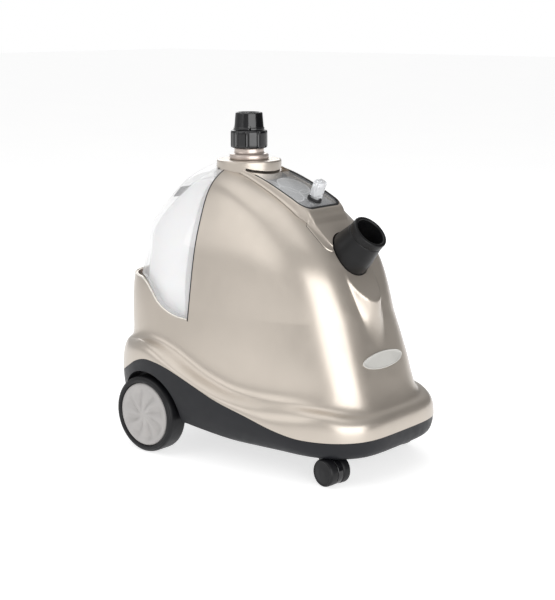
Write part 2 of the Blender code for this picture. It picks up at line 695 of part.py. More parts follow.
def build_tank():
    around = 36
    shell = dome("tank_shell", 0.8, 140, "clear", around, TANK_STEP)
    keep(shell, block("tank_limit", (-200, SEAM_Y + 0.4, TANK_BOTTOM_Z), (200, 300, 400), None))
    low_form = dome("tank_low_form", WALL + 1.2, 130, None, around, TANK_STEP, CUP_TOP_Z)
    side_space = cut(cup_wall("tank_side_space", 60), low_form)
    cut(shell, side_space)
    cavity = dome("tank_cavity", 6.4, 130, None, around, TANK_STEP, CUP_TOP_Z)
    keep(cavity, block("cavity_limit", (-200, SEAM_Y + 3, TANK_BOTTOM_Z + 2.5), (200, 300, 400), None))
    cut(cavity, rod("cavity_notch", PLATFORM_RADIUS + 3.6, 120, 400, None, 48, place=(0, POLE_Y, 0)))
    cut(shell, cavity, rod("tank_notch", PLATFORM_RADIUS + 0.9, 120, 400, None, 48, place=(0, POLE_Y, 0)))
    add(shell, rod("tank_neck", 19, 137, TANK_BOTTOM_Z + 1, None, 32, place=(0, CAP_Y, 0)))
    cut(shell, rod("tank_mouth", 16.5, 130, TANK_BOTTOM_Z + 6, None, 32, place=(0, CAP_Y, 0)))

    liner = dome("tank_liner", 13.0, 145, "frosted", 28, TANK_STEP, CUP_TOP_Z)
    keep(liner, block("liner_space", (-200, SEAM_Y + 15, BAY_FLOOR_Z + 8), (200, 300, 309), None))
    cut(liner, rod("liner_notch", PLATFORM_RADIUS + 8, 120, 400, None, 40, place=(0, POLE_Y, 0)))
    hollow = dome("liner_hollow", 15.0, 135, None, 28, TANK_STEP, CUP_TOP_Z)
    keep(hollow, block("liner_inside", (-200, SEAM_Y + 17, 120), (200, 300, 306.5), None))
    cut(hollow, rod("liner_notch_in", PLATFORM_RADIUS + 10, 110, 410, None, 40, place=(0, POLE_Y, 0)))
    cut(liner, hollow)

    grip = dome("tank_grip", -1.0, 250, "charcoal", 40, TANK_STEP)
    cut(grip, dome("grip_back", 0.5, 240, None, 40, TANK_STEP))
    keep(grip, block("grip_space", (-24, 110, 286), (24, 300, 299), None))

    cap = [(0, 131), (20.5, 131), (21.8, 132.4), (21.8, 147.2), (19.4, 147.2), (19.4, 134.2), (0, 134.2)]
    tank_cap = turned("tank_cap", cap, "charcoal", 24, place=(0, CAP_Y, 0))
    cut(tank_cap, rod("cap_bore", 4.4, 120, 140, None, 20, place=(0, CAP_Y, 0)))
    for i in range(8):
        angle = (i + 0.3) * math.tau / 8
        place = (22.6 * math.cos(angle), CAP_Y + 22.6 * math.sin(angle), 0)
        cut(tank_cap, rod(f"cap_groove_{i}", 1.4, 130, 150, None, 8, place=place))
    turned("cap_seal", [(16.9, 134.5), (19.0, 134.5), (19.0, 136.7), (16.9, 136.7)], "silicone", 24,
           place=(0, CAP_Y, 0))
    plunger = [
        (0, 0), (3.9, 0), (4.0, 0.4), (4.0, 7.2), (9.5, 7.2), (9.5, 9.2), (2.0, 9.2), (2.0, 22), (0, 22),
    ]
    turned("valve_plunger", plunger, "frosted", 16, place=(0, CAP_Y, 127.3))
    guide = [(9.9, 134.5), (12.0, 134.5), (12.0, 150.5), (2.4, 150.5), (2.4, 148.6), (9.9, 148.6)]
    turned("valve_guide", guide, "frosted", 20, place=(0, CAP_Y, 0))
    coil = [
        (5.6 * math.cos(i * math.tau / 6), CAP_Y + 5.6 * math.sin(i * math.tau / 6), 137.3 + i * 0.427)
        for i in range(25)
    ]
    tube("valve_spring", coil, 0.5, "steel", 0, 50.0)


def build_seat():
    """The water cup under the tank's cap, which feeds the boiler."""
    profile = [
        (0, 112), (10, 112), (24, 120), (24, 150.2), (22.6, 150.2), (22.6, 121.5), (9, 114.4), (0, 114.4),
    ]
    seat = turned("water_seat", profile, "frosted", 24, place=(0, CAP_Y, 0))
    add(seat, rod("seat_pin", 2.2, 113, 126.9, None, 12, place=(0, CAP_Y, 0)))
    cut(seat, rod("seat_outlet", 4.3, 6, 40, None, 16, place=(0, CAP_Y, 127), turn=(math.pi / 2, 0, 0)))


# ---------------------------------------------------------------- top: pole socket


def build_pole_socket():
    platform = [
        (PLATFORM_RADIUS - 0.2, PLATFORM_BOTTOM), (PLATFORM_RADIUS, PLATFORM_BOTTOM + 1),
        (PLATFORM_RADIUS, PLATFORM_TOP - 5), (PLATFORM_RADIUS - 0.8, PLATFORM_TOP - 2.2),
        (PLATFORM_RADIUS - 2.4, PLATFORM_TOP - 0.6), (PLATFORM_RADIUS - 5, PLATFORM_TOP),
        (16.4, PLATFORM_TOP), (16.4, 328), (32, 328), (32, 299), (16.4, 299), (16.4, PLATFORM_BOTTOM),
    ]
    turned("pole_platform", platform, "champagne", 32, place=(0, POLE_Y, 0))
    neck = [
        (16, 297), (16, PLATFORM_TOP + GAP), (22.7, PLATFORM_TOP + GAP), (23.2, 339), (22.6, 342.6),
        (21, 343.6), (17.6, 344), (17.4, 349.6), (15.2, 349.8), (15.2, 362), (POLE_BORE + 0.4, 362),
        (POLE_BORE + 0.4, 300.5), (3, 300.5), (3, 297),
    ]
    turned("pole_neck", neck, "champagne", 22, place=(0, POLE_Y, 0))
    nut = [
        (20.2, 0), (21.4, 1.2), (21.6, 3), (21.6, 18.4), (20.4, 20.4), (19.0, 20.8), (15.6, 20.8), (15.6, 0),
    ]
    lock_nut = turned("lock_nut", nut, "black_gloss", 24, place=(0, POLE_Y, 350.2))
    for i in range(10):
        angle = (i + 0.5) * math.tau / 10
        groove = rod(f"nut_groove_{i}", 1.5, 351.4, 369.5, None, 8,
                     place=(22.1 * math.cos(angle), POLE_Y + 22.1 * math.sin(angle), 0))
        cut(lock_nut, groove)
    collet = [
        (14.9, 362.5), (14.9, 371.3), (18.2, 371.5), (17.8, 375), (15.9, 390.2), (15.0, 391.4), (POLE_BORE, 391.4),
        (POLE_BORE, 362.5),
    ]
    piece = turned("pole_collet", collet, "black_gloss", 20, place=(0, POLE_Y, 0))
    for i in range(4):
        angle = i * math.pi / 2 + math.pi / 4
        slit = block(f"collet_slit_{i}", (8, -1.1, 371), (30, 1.1, 376), None, place=(0, POLE_Y, 0),
                     turn=(0, 0, angle))
        cut(piece, slit)


# ---------------------------------------------------------------- window and knob


def build_window():
    ring = ribbon("window_gasket", 34, -42.6, 33.4, 0.4, 3.0, 12.2, "rubber")
    cut(ring, ribbon("gasket_inside", 70, -40.9, 31.7, -5, 12, 10.8))
    near = rod("window_rear", PLATFORM_RADIUS + 0.9, 280, 400, None, 48, place=(0, POLE_Y, 0))
    cut(ring, near)
    cover = ribbon("window_cover", 34, -40.6, 31.4, 0.7, 2.0, 10.5, "clear")
    cut(cover, near)
    tray = ribbon("display_tray", 34, -42.4, 33.2, 7.4, 1.6, 12, "silver")
    cut(tray, near)
    knob_hole = rod("knob_hole", 8.9, -30, 30, None, 28, **knob_frame())
    cut(cover, knob_hole)
    shaft_hole = rod("shaft_hole", 4.0, -30, 30, None, 20, **knob_frame())
    cut(tray, shaft_hole)
    return near


KNOB_PLACE = (0.0, -27.0, 295.4)
KNOB_TILT = 23.5


def knob_frame():
    """Place and turn for a piece whose local Z is the knob's axis, with its origin at the tray's top."""
    return {"place": KNOB_PLACE, "turn": (math.radians(KNOB_TILT), 0, 0)}


def build_knob():
    turned("knob_ring", [(5.6, 0.3), (8.4, 0.3), (8.4, 4.2), (7.6, 5.2), (6.4, 5.2), (5.6, 4.4)], "rubber", 20,
           **knob_frame())
    base = [
        (0, -8), (3.6, -8), (3.6, 0.5), (5.3, 0.7), (5.3, 7.4), (6.8, 7.6), (7.0, 9.5), (7.0, 22),
        (6.4, 24.6), (4.6, 26.2), (0, 26.8),
    ]
    knob = turned("steam_knob", base, "clear", 24, **knob_frame())
    for side, name in ((-1, "left"), (1, "right")):
        cheek = block(f"knob_cheek_{name}", (-10, side * 4.2 if side > 0 else -20, 9.5),
                      (10, 20 if side > 0 else -4.2, 30), None, **knob_frame())
        cut(knob, cheek)
    switch = [(0, -24), (11.5, -24), (12, -23.5), (12, -12.5), (11.5, -12), (4.1, -12), (4.1, -14), (0, -14)]
    turned("control_switch", switch, "charcoal", 20, **knob_frame())


# ---------------------------------------------------------------- hose socket and boiler


def build_hose_socket():
    profile = [
        (POCKET_RADIUS - GAP, -HOSE_LENGTH + GAP), (POCKET_RADIUS - GAP, -HOSE_LENGTH + 3.5),
        (POCKET_RADIUS - 1, -HOSE_LENGTH + 4.3), (23.4, -HOSE_LENGTH + 4.8), (22.4, -26), (HOSE_RADIUS + 0.2, -8),
        (HOSE_RADIUS + 0.1, -1.6), (HOSE_RADIUS - 0.6, -0.3), (HOSE_RADIUS - 1.8, 0), (HOSE_BORE + 1.2, 0),
        (HOSE_BORE, -1.2), (HOSE_BORE - 0.6, -28), (8.8, -28), (8.8, -HOSE_LENGTH + GAP),
    ]
    turned("hose_socket", profile, "rubber", 24, **hose_frame())
    nipple = [
        (5.2, -46), (7.6, -46), (7.6, -34), (6.6, -33), (6.6, -24.6), (6.0, -23.6), (4.2, -23.6), (4.2, -46),
    ]
    turned("steam_nipple", nipple, "brass", 20, **hose_frame())


def build_boiler():
    foot = BOILER_FOOT_Z
    body = [
        (0, foot), (57, foot), (57, foot + 3), (46, foot + 3), (46, 104), (52, 104), (52, 108), (42, 108),
        (42, foot + 6), (0, foot + 6),
    ]
    place = (0, BOILER_Y, 0)
    boiler = turned("boiler_body", body, "aluminium", 20, place=place)
    cut(boiler, rod("boiler_inlet", 4.2, 30, 60, None, 16, place=(0, BOILER_Y, 84), turn=(-math.pi / 2, 0, 0)))
    lid = [(0, 108.3), (52, 108.3), (52, 112), (40, 114), (20, 122), (9, 122), (9, 128), (5.4, 128), (5.4, 119),
           (0, 119)]
    lid_solid = turned("boiler_lid", lid, "aluminium", 20, place=place)
    seat_place = (THERMOSTAT_X, BOILER_Y, 0)
    add(lid_solid, rod("thermostat_seat", 7.5, 112, THERMOSTAT_Z - GAP, None, 16, place=seat_place))
    (x0, y0, z0), (x1, y1, _) = FUSE_LOW, FUSE_HIGH
    add(lid_solid, block("fuse_seat", (x0 + 1, y0 + 1, 112), (x1 - 1, y1 - 1, z0 - GAP), None))
    cut(lid_solid, rod("lid_bore", 5.2, 100, 125, None, 16, place=place))
    element = []
    for i in range(13):
        angle = math.radians(25 * i - 120)
        element.append((33 * math.cos(angle), BOILER_Y + 33 * math.sin(angle), foot - 3.5))
    tube("heating_element", element, 3.2, "steel", 1, 20.0)
    tray = [
        (12, SHIELD_Z), (58, SHIELD_Z), (62, SHIELD_Z + 6), (62, SHIELD_Z + 7), (57.4, SHIELD_Z + 1),
        (12, SHIELD_Z + 1),
    ]
    shield = turned("heat_shield", tray, "steel", 24, place=place)
    cut(shield, *boiler_posts("shield_hole", POST_RADIUS + GAP, 30, 60))
    rod("thermostat", 8.5, THERMOSTAT_Z, THERMOSTAT_Z + 7, "steel", 20, place=seat_place)
    tube("steam_tube", steam_route(), 5.0, "silicone", 2, 10.0)
    route = (
        (0, CAP_Y - 23, 127), (0, CAP_Y - 34, 127), (0, 90, 118), (0, 70, 98), (0, 50, 86), (0, 38, 84),
        (0, 24.5, 84),
    )
    tube("feed_tube", route, 4.0, "silicone", 2, 10.0)


def steam_route():
    """From the boiler's outlet up to the back of the hose socket."""
    axis = Vector((0, -math.sin(math.radians(45)), math.cos(math.radians(45))))
    root = Vector(HOSE_MOUTH) - axis * 47
    return ((0, -20, 128.5), (0, -20, 150), (0, -26, 180), tuple(root - axis * 28), tuple(root - axis * 12), tuple(root))


def build_electrics():
    fuse = block("thermal_fuse", FUSE_LOW, FUSE_HIGH, "ceramic")
    bevel(fuse, 1.0)
    terminal = block("terminal_block", TERMINAL_LOW, TERMINAL_HIGH, "ceramic")
    bevel(terminal, 0.8)
    gland = [(6.0, -9), (6.0, 1.3), (9.5, 1.3), (9.3, 2.2), (8.6, 2.8), (3.7, 2.8), (3.7, -9)]
    turned("cable_gland", gland, "rubber", 20, place=(-40, 205.2, 64), turn=(-math.pi / 2, 0, 0))
    plug = [
        (0, -1.6), (11, -1.6), (12, -0.6), (12, 1.2), (8.0, 1.2), (8.0, 12), (0, 12),
    ]
    drain = turned("drain_plug", plug, "black_gloss", 20, place=(0, DRAIN_Y, FLOOR_REAR - 1.6))
    cut(drain, block("drain_slot", (-7, -1.2, -3), (7, 1.2, -0.4), None, place=(0, DRAIN_Y, FLOOR_REAR - 1.6)))


def main():
    clear_scene()
    build_housing()
    build_bay()
    build_badge()
    build_pan()
    build_screws()
    build_rear_wheels()
    build_casters()
    build_tank()
    build_seat()
    build_pole_socket()
    build_window()
    build_knob()
    build_hose_socket()
    build_boiler()
    build_electrics()


main()
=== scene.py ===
"""Looks of the garment steamer: visible pieces, materials, floor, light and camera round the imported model."""

import math

import bpy
import numpy as np
from mathutils import Euler, Matrix, Vector
from mathutils.bvhtree import BVHTree


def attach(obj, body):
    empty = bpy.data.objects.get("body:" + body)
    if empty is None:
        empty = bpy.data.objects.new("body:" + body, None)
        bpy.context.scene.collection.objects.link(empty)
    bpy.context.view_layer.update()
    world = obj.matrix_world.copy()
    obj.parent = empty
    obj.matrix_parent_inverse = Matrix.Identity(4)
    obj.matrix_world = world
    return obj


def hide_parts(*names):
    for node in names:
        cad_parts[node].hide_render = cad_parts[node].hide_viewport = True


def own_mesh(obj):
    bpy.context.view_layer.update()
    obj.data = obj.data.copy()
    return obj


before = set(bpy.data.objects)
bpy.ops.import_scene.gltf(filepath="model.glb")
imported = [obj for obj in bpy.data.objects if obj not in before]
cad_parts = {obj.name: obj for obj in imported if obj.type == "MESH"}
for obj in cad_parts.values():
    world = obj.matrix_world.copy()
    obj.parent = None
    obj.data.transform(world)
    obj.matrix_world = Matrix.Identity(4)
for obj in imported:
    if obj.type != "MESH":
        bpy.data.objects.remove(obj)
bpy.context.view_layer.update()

MM = 0.001
GAP = 0.3

# Points round the body's rings, and how far they crowd towards its front.
ROUND = 300
CROWD = 0.42
# Spacing of the wall's rings up to its crown, the crown's own rings, and how often each form is evened out.
RING_STEP = 2.65
CROWN_LOW = 331.0
CROWN = (332.3, 333.6, 335)
SKIRT_PASSES = 26
WALL_PASSES = 24

# The body's outline, in millimetres. Y runs from a line that lies ORIGIN_Y in front of the frame's origin.
FRONT_Y = -158.0
REAR_Y = 208.0
ORIGIN_Y = 25.0
SKIRT_HALF_WIDTH = 124.4
SKIRT_TAPER = 0.12
SKIRT_POWERS = (4.3, 3.1)
WALL = 2.6

WHEEL_RADIUS = 45.0
WHEEL_Y = 120.5
WHEEL_INNER_X = 107.0
WELL_RADIUS = 51.0
CASTER_X = 77.0
CASTER_Y = -105.0
CASTER_RADIUS = 15.3
CASTER_TRAIL = 13.0
CASTERS = ((-1, "left", -9), (1, "right", 172))

CASTER_RECESS_RADIUS = 26.5
CASTER_RECESS_Z = 31.5

# Underside of the pan: level at the front, two ramps, then level again.
FLOOR_LINE = ((-100.0, 29.0), (-8.0, 31.5), (62.0, 43.0))
FLOOR_THICK = 3.0
# The pan's section, from the floor up to the skirt's edge: distance in from the edge, share of its depth.
PAN_SIDE = ((26.0, 1.0), (18.0, 0.965), (10.0, 0.85), (4.5, 0.6), (1.4, 0.28), (0.3, 0.0))
PAN_FRONT = ((23.0, 1.0), (14.0, 0.985), (7.0, 0.9), (3.2, 0.7), (1.2, 0.38), (0.3, 0.0))

SEAM_Y = 76.0
CUP_RIM = ((SEAM_Y, 160), (96, 162), (112, 167), (126, 175), (138, 186), (150, 195), (164, 199), (300, 200))
CUP_TOP_Z = 200.0
LIP_RADIUS = 0.85
TANK_STEP = 11.0
BAY_FLOOR_Z = 148.5
TANK_BOTTOM_Z = 150.5
CAP_Y = 142.0
SPRING_WIRE = 0.5
SPRING_RADIUS = 5.6
SPRING_TURNS = 4.0
SPRING_PITCH = 2.56
SPRING_LOW = 137.3

POLE_Y = 70.6
PLATFORM_RADIUS = 38.0
PLATFORM_TOP = 337.0
PLATFORM_BOTTOM = 296.0
POLE_BORE = 12.5
NUT_Z = 350.2
COLLET_TOP = 391.4

HOSE_MOUTH = (0.0, -108.0, 269.0)
HOSE_RADIUS = 21.5
HOSE_BORE = 17.0
HOSE_LENGTH = 54.0
NOSE_RADIUS = 22.0
NOSE_Y = -96.0
NOSE_SLANT = 310.5
NOSE_BLEND = 7.0
NOSE_FADE = 6.0
NOSE_ROUND_TO = 0.92
NOSE_EDGE = 0.392
NOSE_FALL = 2.35
POCKET_RADIUS = 27.2

BADGE_Z = 127.0
BADGE_HALF = (36.0, 9.0)
KNOB_PLACE = (0.0, -27.0, 295.4)
KNOB_TILT = 23.5
KNOB_HALF_THICK = 4.8
KNOB_FULL_FROM = 6.6
# The print under the window, in metres: each disc's middle and radius.
PRINT_DISCS = (
    (0.012, -0.012, 0.019), (-0.012, -0.026, 0.017), (0.014, -0.036, 0.013), (-0.018, -0.002, 0.012),
)

# The camera: place in metres, angle left of straight ahead and angle down in degrees, lens and sensor width.
CAMERA_PLACE = (-1.1880, -1.0055, 0.5015)
CAMERA_ANGLES = (40.3, 11.9)
CAMERA_LENS = (81.0, 36.0)

# The floor's half width in metres and its own light, then each lamp's place, size in metres and power.
FLOOR_HALF = 14.0
FLOOR_GLOW = 0.68
LAMP_TARGET = (0, 0, 0.18)
LAMPS = (
    ("near", (-1.05, -2.4, 0.75), (3.1, 1.7), 50),
    ("left", (-2.7, 1.3, 1.9), (2.6, 2.2), 20),
    ("top", (-0.2, 0.2, 2.4), (2.0, 2.0), 12),
    ("rear", (1.4, 1.6, 1.2), (1.2, 1.0), 10),
)

# The studio's white: its strength on the bright and the dim side, where it is dim, and how it fades.
WORLD_DIM_SIDE = (0.78, -0.62, -0.1)
WORLD_FADE = (0.2, 0.95)
WORLD_BRIGHT = 0.5
WORLD_DIM = 0.06

# Body wall: height, front, rear, half width, taper, front power, rear power.
BODY_SECTIONS = (
    (78, -142, 193, 103.0, 0.12, 4.0, 3.6),
    (130, -127, 195, 103.0, 0.10, 3.7, 3.8),
    (165, -115, 199, 99.0, 0.08, 3.3, 4.0),
    (200, -102, 202, 95.0, 0.06, 3.6, 3.8),
    (228, -90, 200, 91.0, 0.04, 3.7, 3.2),
    (250, -77, 198, 86.5, 0.03, 3.4, 3.0),
    (270, -56, 186, 80.0, 0.02, 3.1, 2.9),
    (286, -35, 173, 74.5, 0.00, 3.0, 2.8),
    (302, -8, 157, 67.5, 0.00, 2.9, 2.7),
    (315, 22, 143, 59.0, 0.00, 2.7, 2.6),
    (324, 42, 132, 48.0, 0.00, 2.5, 2.5),
    (331, 56, 118, 34.0, 0.00, 2.3, 2.3),
    (335, 68, 104, 18.0, 0.00, 2.2, 2.2),
)
EDGE_HEIGHT = (
    (-160, 51.5), (-95, 51.5), (-63, 57), (-25, 68), (14, 79), (46, 92), (68, 101), (87, 107.5),
    (105, 111), (121, 111.5), (139, 106), (160, 94), (180, 85), (210, 81),
)
CREASE_HEIGHT = (
    (-160, 76), (-142, 77), (-115, 82), (-85, 84), (-50, 84), (-20, 85), (10, 89), (40, 98), (65, 109),
    (88, 120), (110, 128), (132, 131), (160, 127), (210, 122),
)
# The skirt's section: distance in from its edge, share of the way to the wall's foot, share of its height.
SKIRT_FRONT = (
    (0.0, 0.0, 0.0), (0.0, 0.0, 0.03), (0.2, 0.0, 0.32), (0.9, 0.0, 0.62), (2.8, 0.06, 0.86),
    (3.6, 0.34, 0.95), (3.4, 0.64, 0.97), (3.0, 0.9, 1.02),
)
SKIRT_SIDE = (
    (0.0, 0.0, 0.0), (0.0, 0.0, 0.03), (0.3, 0.0, 0.25), (1.4, 0.02, 0.46), (3.0, 0.14, 0.66),
    (3.3, 0.38, 0.84), (3.2, 0.64, 1.0), (3.0, 0.86, 1.18),
)
SPINE_GAP = 1.1
SPINE_TAPER = 2.2
SPINE_DEPTH = 1.5
SPINE_CORNER = 1.3
# The front of the spine's raised block: y, height of its top, its half width, then its foot's half width.
SPINE_FRONT = (
    (-47.5, 284.2, 31.4, 37.4), (-50.5, 280.0, 30.8, 37.6), (-53.5, 274.4, 30.2, 37.7),
    (-57.0, 270.6, 29.6, 37.7), (-61.5, 265.9, 28.8, 37.6), (-67.0, 260.3, 27.6, 37.3),
    (-71.0, 256.0, 26.6, 36.4), (-74.5, 251.6, 24.6, 34.0), (-77.5, 246.8, 22.0, 29.0),
)
SPINE_TOP = ((-60, 281), (-46, 289), (-16, 304), (20, 319), (51, 328), (75, 333))


# ---------------------------------------------------------------- curves and outlines


def along(table, x):
    """A smooth curve through a table of (x, value), level at its two ends."""
    if x <= table[0][0]:
        return table[0][1]
    for i in range(len(table) - 1):
        x0, v0 = table[i]
        x1, v1 = table[i + 1]
        if x <= x1:
            before = table[max(i - 1, 0)]
            after = table[min(i + 2, len(table) - 1)]
            slope0 = (v1 - before[1]) / (x1 - before[0])
            slope1 = (after[1] - v0) / (after[0] - x0)
            span = x1 - x0
            u = (x - x0) / span
            return (
                v0 * (2 * u**3 - 3 * u**2 + 1)
                + v1 * (3 * u**2 - 2 * u**3)
                + span * (slope0 * (u**3 - 2 * u**2 + u) + slope1 * (u**3 - u**2))
            )
    return table[-1][1]


def smooth(low, high, x):
    u = min(max((x - low) / (high - low), 0.0), 1.0)
    return u * u * (3 - 2 * u)


def egg(t, front, rear, half_width, taper, front_power, rear_power):
    """A point of a tapered superellipse, seen from its middle at angle t from +X."""
    middle = (front + rear) / 2
    n = front_power if math.sin(t) < 0 else rear_power
    reach = (abs(math.cos(t)) ** n + abs(math.sin(t)) ** n) ** (-1 / n)
    y = middle + (rear - front) / 2 * reach * math.sin(t)
    x = (half_width + taper * (y - middle)) * reach * math.cos(t)
    return x, y


def body_section(z):
    return [along([(row[0], row[i]) for row in BODY_SECTIONS], z) for i in range(1, 7)]


def body_point(t, z, inset, step=0.0):
    """A point of the body's wall at height z, moved inwards and, near the top, down."""
    front, rear, half_width, taper, front_power, rear_power = body_section(z)
    rear -= step * (1 - smooth(200, 262, z))
    half_width = max(half_width - inset, 2.0)
    x, y = egg(t, front + inset, rear - inset, half_width, taper, front_power, rear_power)
    return x, y, z - inset * smooth(200, 330, z)


def skirt_point(t, inset):
    half_width = SKIRT_HALF_WIDTH - inset
    return egg(t, FRONT_Y + inset, REAR_Y - inset, half_width, SKIRT_TAPER, *SKIRT_POWERS)


def turns(count, inset=0.0, crowd=0.0):
    """Angles round a ring. With crowd, they stand closer together at its front."""
    shift = 0.5 if inset > 0 else 0.0
    even = [(i + shift) * math.tau / count for i in range(count)]
    return [a - crowd * math.cos(a) for a in even]


def spaced(low, high, step):
    """Heights from low to high, about step apart."""
    count = max(1, round(abs(high - low) / step))
    return [low + (high - low) * i / count for i in range(count + 1)]


def spline(rings, steps, sharp=()):
    """Rings on a cubic B-spline through a stack of control rings. Rings named in sharp are passed through."""
    stack = []
    for i, ring in enumerate(rings):
        stack += [np.array(ring, float)] * (3 if i in sharp or i in (0, len(rings) - 1) else 1)
    made = []
    for a, b, c, d in zip(stack, stack[1:], stack[2:], stack[3:]):
        if a is b and b is c and c is d:
            continue
        for i in range(steps):
            u = i / steps
            pulls = (1 - u) ** 3, 3 * u**3 - 6 * u**2 + 4, -3 * u**3 + 3 * u**2 + 3 * u + 1, u**3
            made.append((pulls[0] * a + pulls[1] * b + pulls[2] * c + pulls[3] * d) / 6)
    made.append(stack[-1])
    kept = [made[0]]
    for ring in made[1:]:
        if np.abs(ring - kept[-1]).max() > 0.02:
            kept.append(ring)
    return kept


def through(rings, steps):
    """Rings on a Catmull-Rom spline through the given rings."""
    stack = [np.array(ring, float) for ring in rings]
    stack = [2 * stack[0] - stack[1], *stack, 2 * stack[-1] - stack[-2]]
    made = []
    for a, b, c, d in zip(stack, stack[1:], stack[2:], stack[3:]):
        for i in range(steps):
            u = i / steps
            bend, twist = 2 * a - 5 * b + 4 * c - d, 3 * b - a - 3 * c + d
            made.append(0.5 * (2 * b + (c - a) * u + bend * u**2 + twist * u**3))
    made.append(stack[-2])
    return made


def settle(rings, passes, first=1, last=None):
    """Evens out small kinks from ring to ring."""
    grid = np.array(rings, float)
    last = len(grid) - 1 if last is None else last
    for _ in range(passes):
        middle = (grid[first - 1 : last - 1] + grid[first + 1 : last + 1]) / 2
        grid[first:last] = grid[first:last] * 0.5 + middle * 0.5
    return list(grid)


def fillet(profile, radius, closed=False, steps=4):
    """Rounds the corners of a profile of (radius, height) points. A third number is a corner's own radius."""
    count = len(profile)
    points = [Vector(p[:2]) for p in profile]
    made = []
    for i, point in enumerate(points):
        if not closed and i in (0, count - 1):
            made.append(tuple(point))
            continue
        before, after = points[i - 1] - point, points[(i + 1) % count] - point
        wanted = profile[i][2] if len(profile[i]) > 2 else radius
        reach = min(wanted, before.length * 0.45, after.length * 0.45)
        if reach < 0.02 or before.normalized().dot(after.normalized()) < -0.999:
            made.append(tuple(point))
            continue
        start, end = point + before.normalized() * reach, point + after.normalized() * reach
        for j in range(steps + 1):
            u = j / steps
            made.append(tuple(start * (1 - u) ** 2 + point * 2 * u * (1 - u) + end * u**2))
    return made


# ---------------------------------------------------------------- mesh builders


def form(name, points, faces, place=(0, 0, 0), turn=(0, 0, 0)):
    """A bare object from points in millimetres. Its place is in its mesh."""
    move = Matrix.Translation(Vector(place) - Vector((0, ORIGIN_Y, 0))) @ Euler(turn).to_matrix().to_4x4()
    grid = np.array(points, float)
    grid = (grid @ np.array(move.to_3x3()).T + np.array(move.translation)) * MM
    mesh = bpy.data.meshes.new(name)
    mesh.from_pydata(grid.tolist(), [], faces)
    obj = bpy.data.objects.new(name, mesh)
    bpy.context.scene.collection.objects.link(obj)
    return obj


def ring_faces(levels, count, wrap=False):
    faces = []
    for level in range(levels if wrap else levels - 1):
        low, high = level * count, ((level + 1) % levels) * count
        for i in range(count):
            j = (i + 1) % count
            faces.append((low + i, low + j, high + j, high + i))
    return faces


def cap_faces(levels, count):
    """Fans that close the first and the last ring, round two middle points that follow the rings' points."""
    low, last = levels * count, (levels - 1) * count
    faces = []
    for i in range(count):
        j = (i + 1) % count
        faces.append((j, i, low))
        faces.append((last + i, last + j, low + 1))
    return faces


def loft(name, rings, **placing):
    """A closed form through rings of equal length, listed from the bottom up, each turning left."""
    count = len(rings[0])
    points = np.concatenate([np.array(ring, float).reshape(-1, 3) for ring in rings])
    points = np.concatenate([points, [np.mean(rings[0], axis=0)], [np.mean(rings[-1], axis=0)]])
    return form(name, points, ring_faces(len(rings), count) + cap_faces(len(rings), count), **placing)


def turned(name, profile, segments=96, swell=None, **placing):
    """A form of revolution about local Z. The profile runs up the outer side and, if it starts off the axis,
    back down the inner one. swell(radius, height, angle) gives a new radius and height."""
    angles = [(i + 0.37) * math.tau / segments for i in range(segments)]
    swell = swell or (lambda r, z, a: (r, z))
    rings = []
    for r, z in profile:
        if r <= 0:
            continue
        ring = []
        for a in angles:
            radius, height = swell(r, z, a)
            ring.append((radius * math.cos(a), radius * math.sin(a), height))
        rings.append(ring)
    points = [p for ring in rings for p in ring]
    if profile[0][0] > 0:
        return form(name, points, ring_faces(len(rings), segments, True), **placing)
    points += [(0, 0, profile[0][1]), (0, 0, profile[-1][1])]
    return form(name, points, ring_faces(len(rings), segments) + cap_faces(len(rings), segments), **placing)


def rod(name, radius, low, high, segments=64, **placing):
    return turned(name, [(0, low), (radius, low), (radius, high), (0, high)], segments, **placing)


def block(name, low, high, **placing):
    (x0, y0, z0), (x1, y1, z1) = low, high
    rings = [[(x0, y0, z), (x1, y0, z), (x1, y1, z), (x0, y1, z)] for z in (z0, z1)]
    return loft(name, rings, **placing)


def tube(name, line, radius, sides=12):
    """A round tube along a line of points in millimetres."""
    places = [Vector(p) for p in line]
    rings = []
    normal = None
    for before, place, after in zip([places[0], *places], places, [*places[1:], places[-1]]):
        way = (after - before).normalized()
        if normal is None:
            normal = way.orthogonal().normalized()
        normal = (normal - way * normal.dot(way)).normalized()
        other = way.cross(normal)
        ring = [place + (normal * math.cos(a) + other * math.sin(a)) * radius for a in turns(sides)]
        rings.append([tuple(p) for p in ring])
    return loft(name, rings)


def carve(obj, operation, *others):
    """Applies Booleans with other forms, which are used up."""
    for other in others:
        modifier = obj.modifiers.new("carve", "BOOLEAN")
        modifier.operation = operation
        modifier.solver = "MANIFOLD"
        modifier.object = other
    graph = bpy.context.evaluated_depsgraph_get()
    made = bpy.data.meshes.new_from_object(obj.evaluated_get(graph))
    obj.modifiers.clear()
    obj.data = made
    for other in others:
        bpy.data.objects.remove(other, do_unlink=True)
    return obj


def cut(obj, *others):
    return carve(obj, "DIFFERENCE", *others)


def keep(obj, *others):
    return carve(obj, "INTERSECT", *others)


def add(obj, *others):
    return carve(obj, "UNION", *others)


def surface_of(obj):
    """A smooth surface that cut pieces can take their shading from."""
    mesh = obj.data
    mesh.shade_smooth()
    points = [v.co.copy() for v in mesh.vertices]
    normals = [Vector(n.vector) for n in mesh.vertex_normals]
    mesh.calc_loop_triangles()
    triangles = [tuple(t.vertices) for t in mesh.loop_triangles]
    return BVHTree.FromPolygons(points, triangles), points, normals, triangles


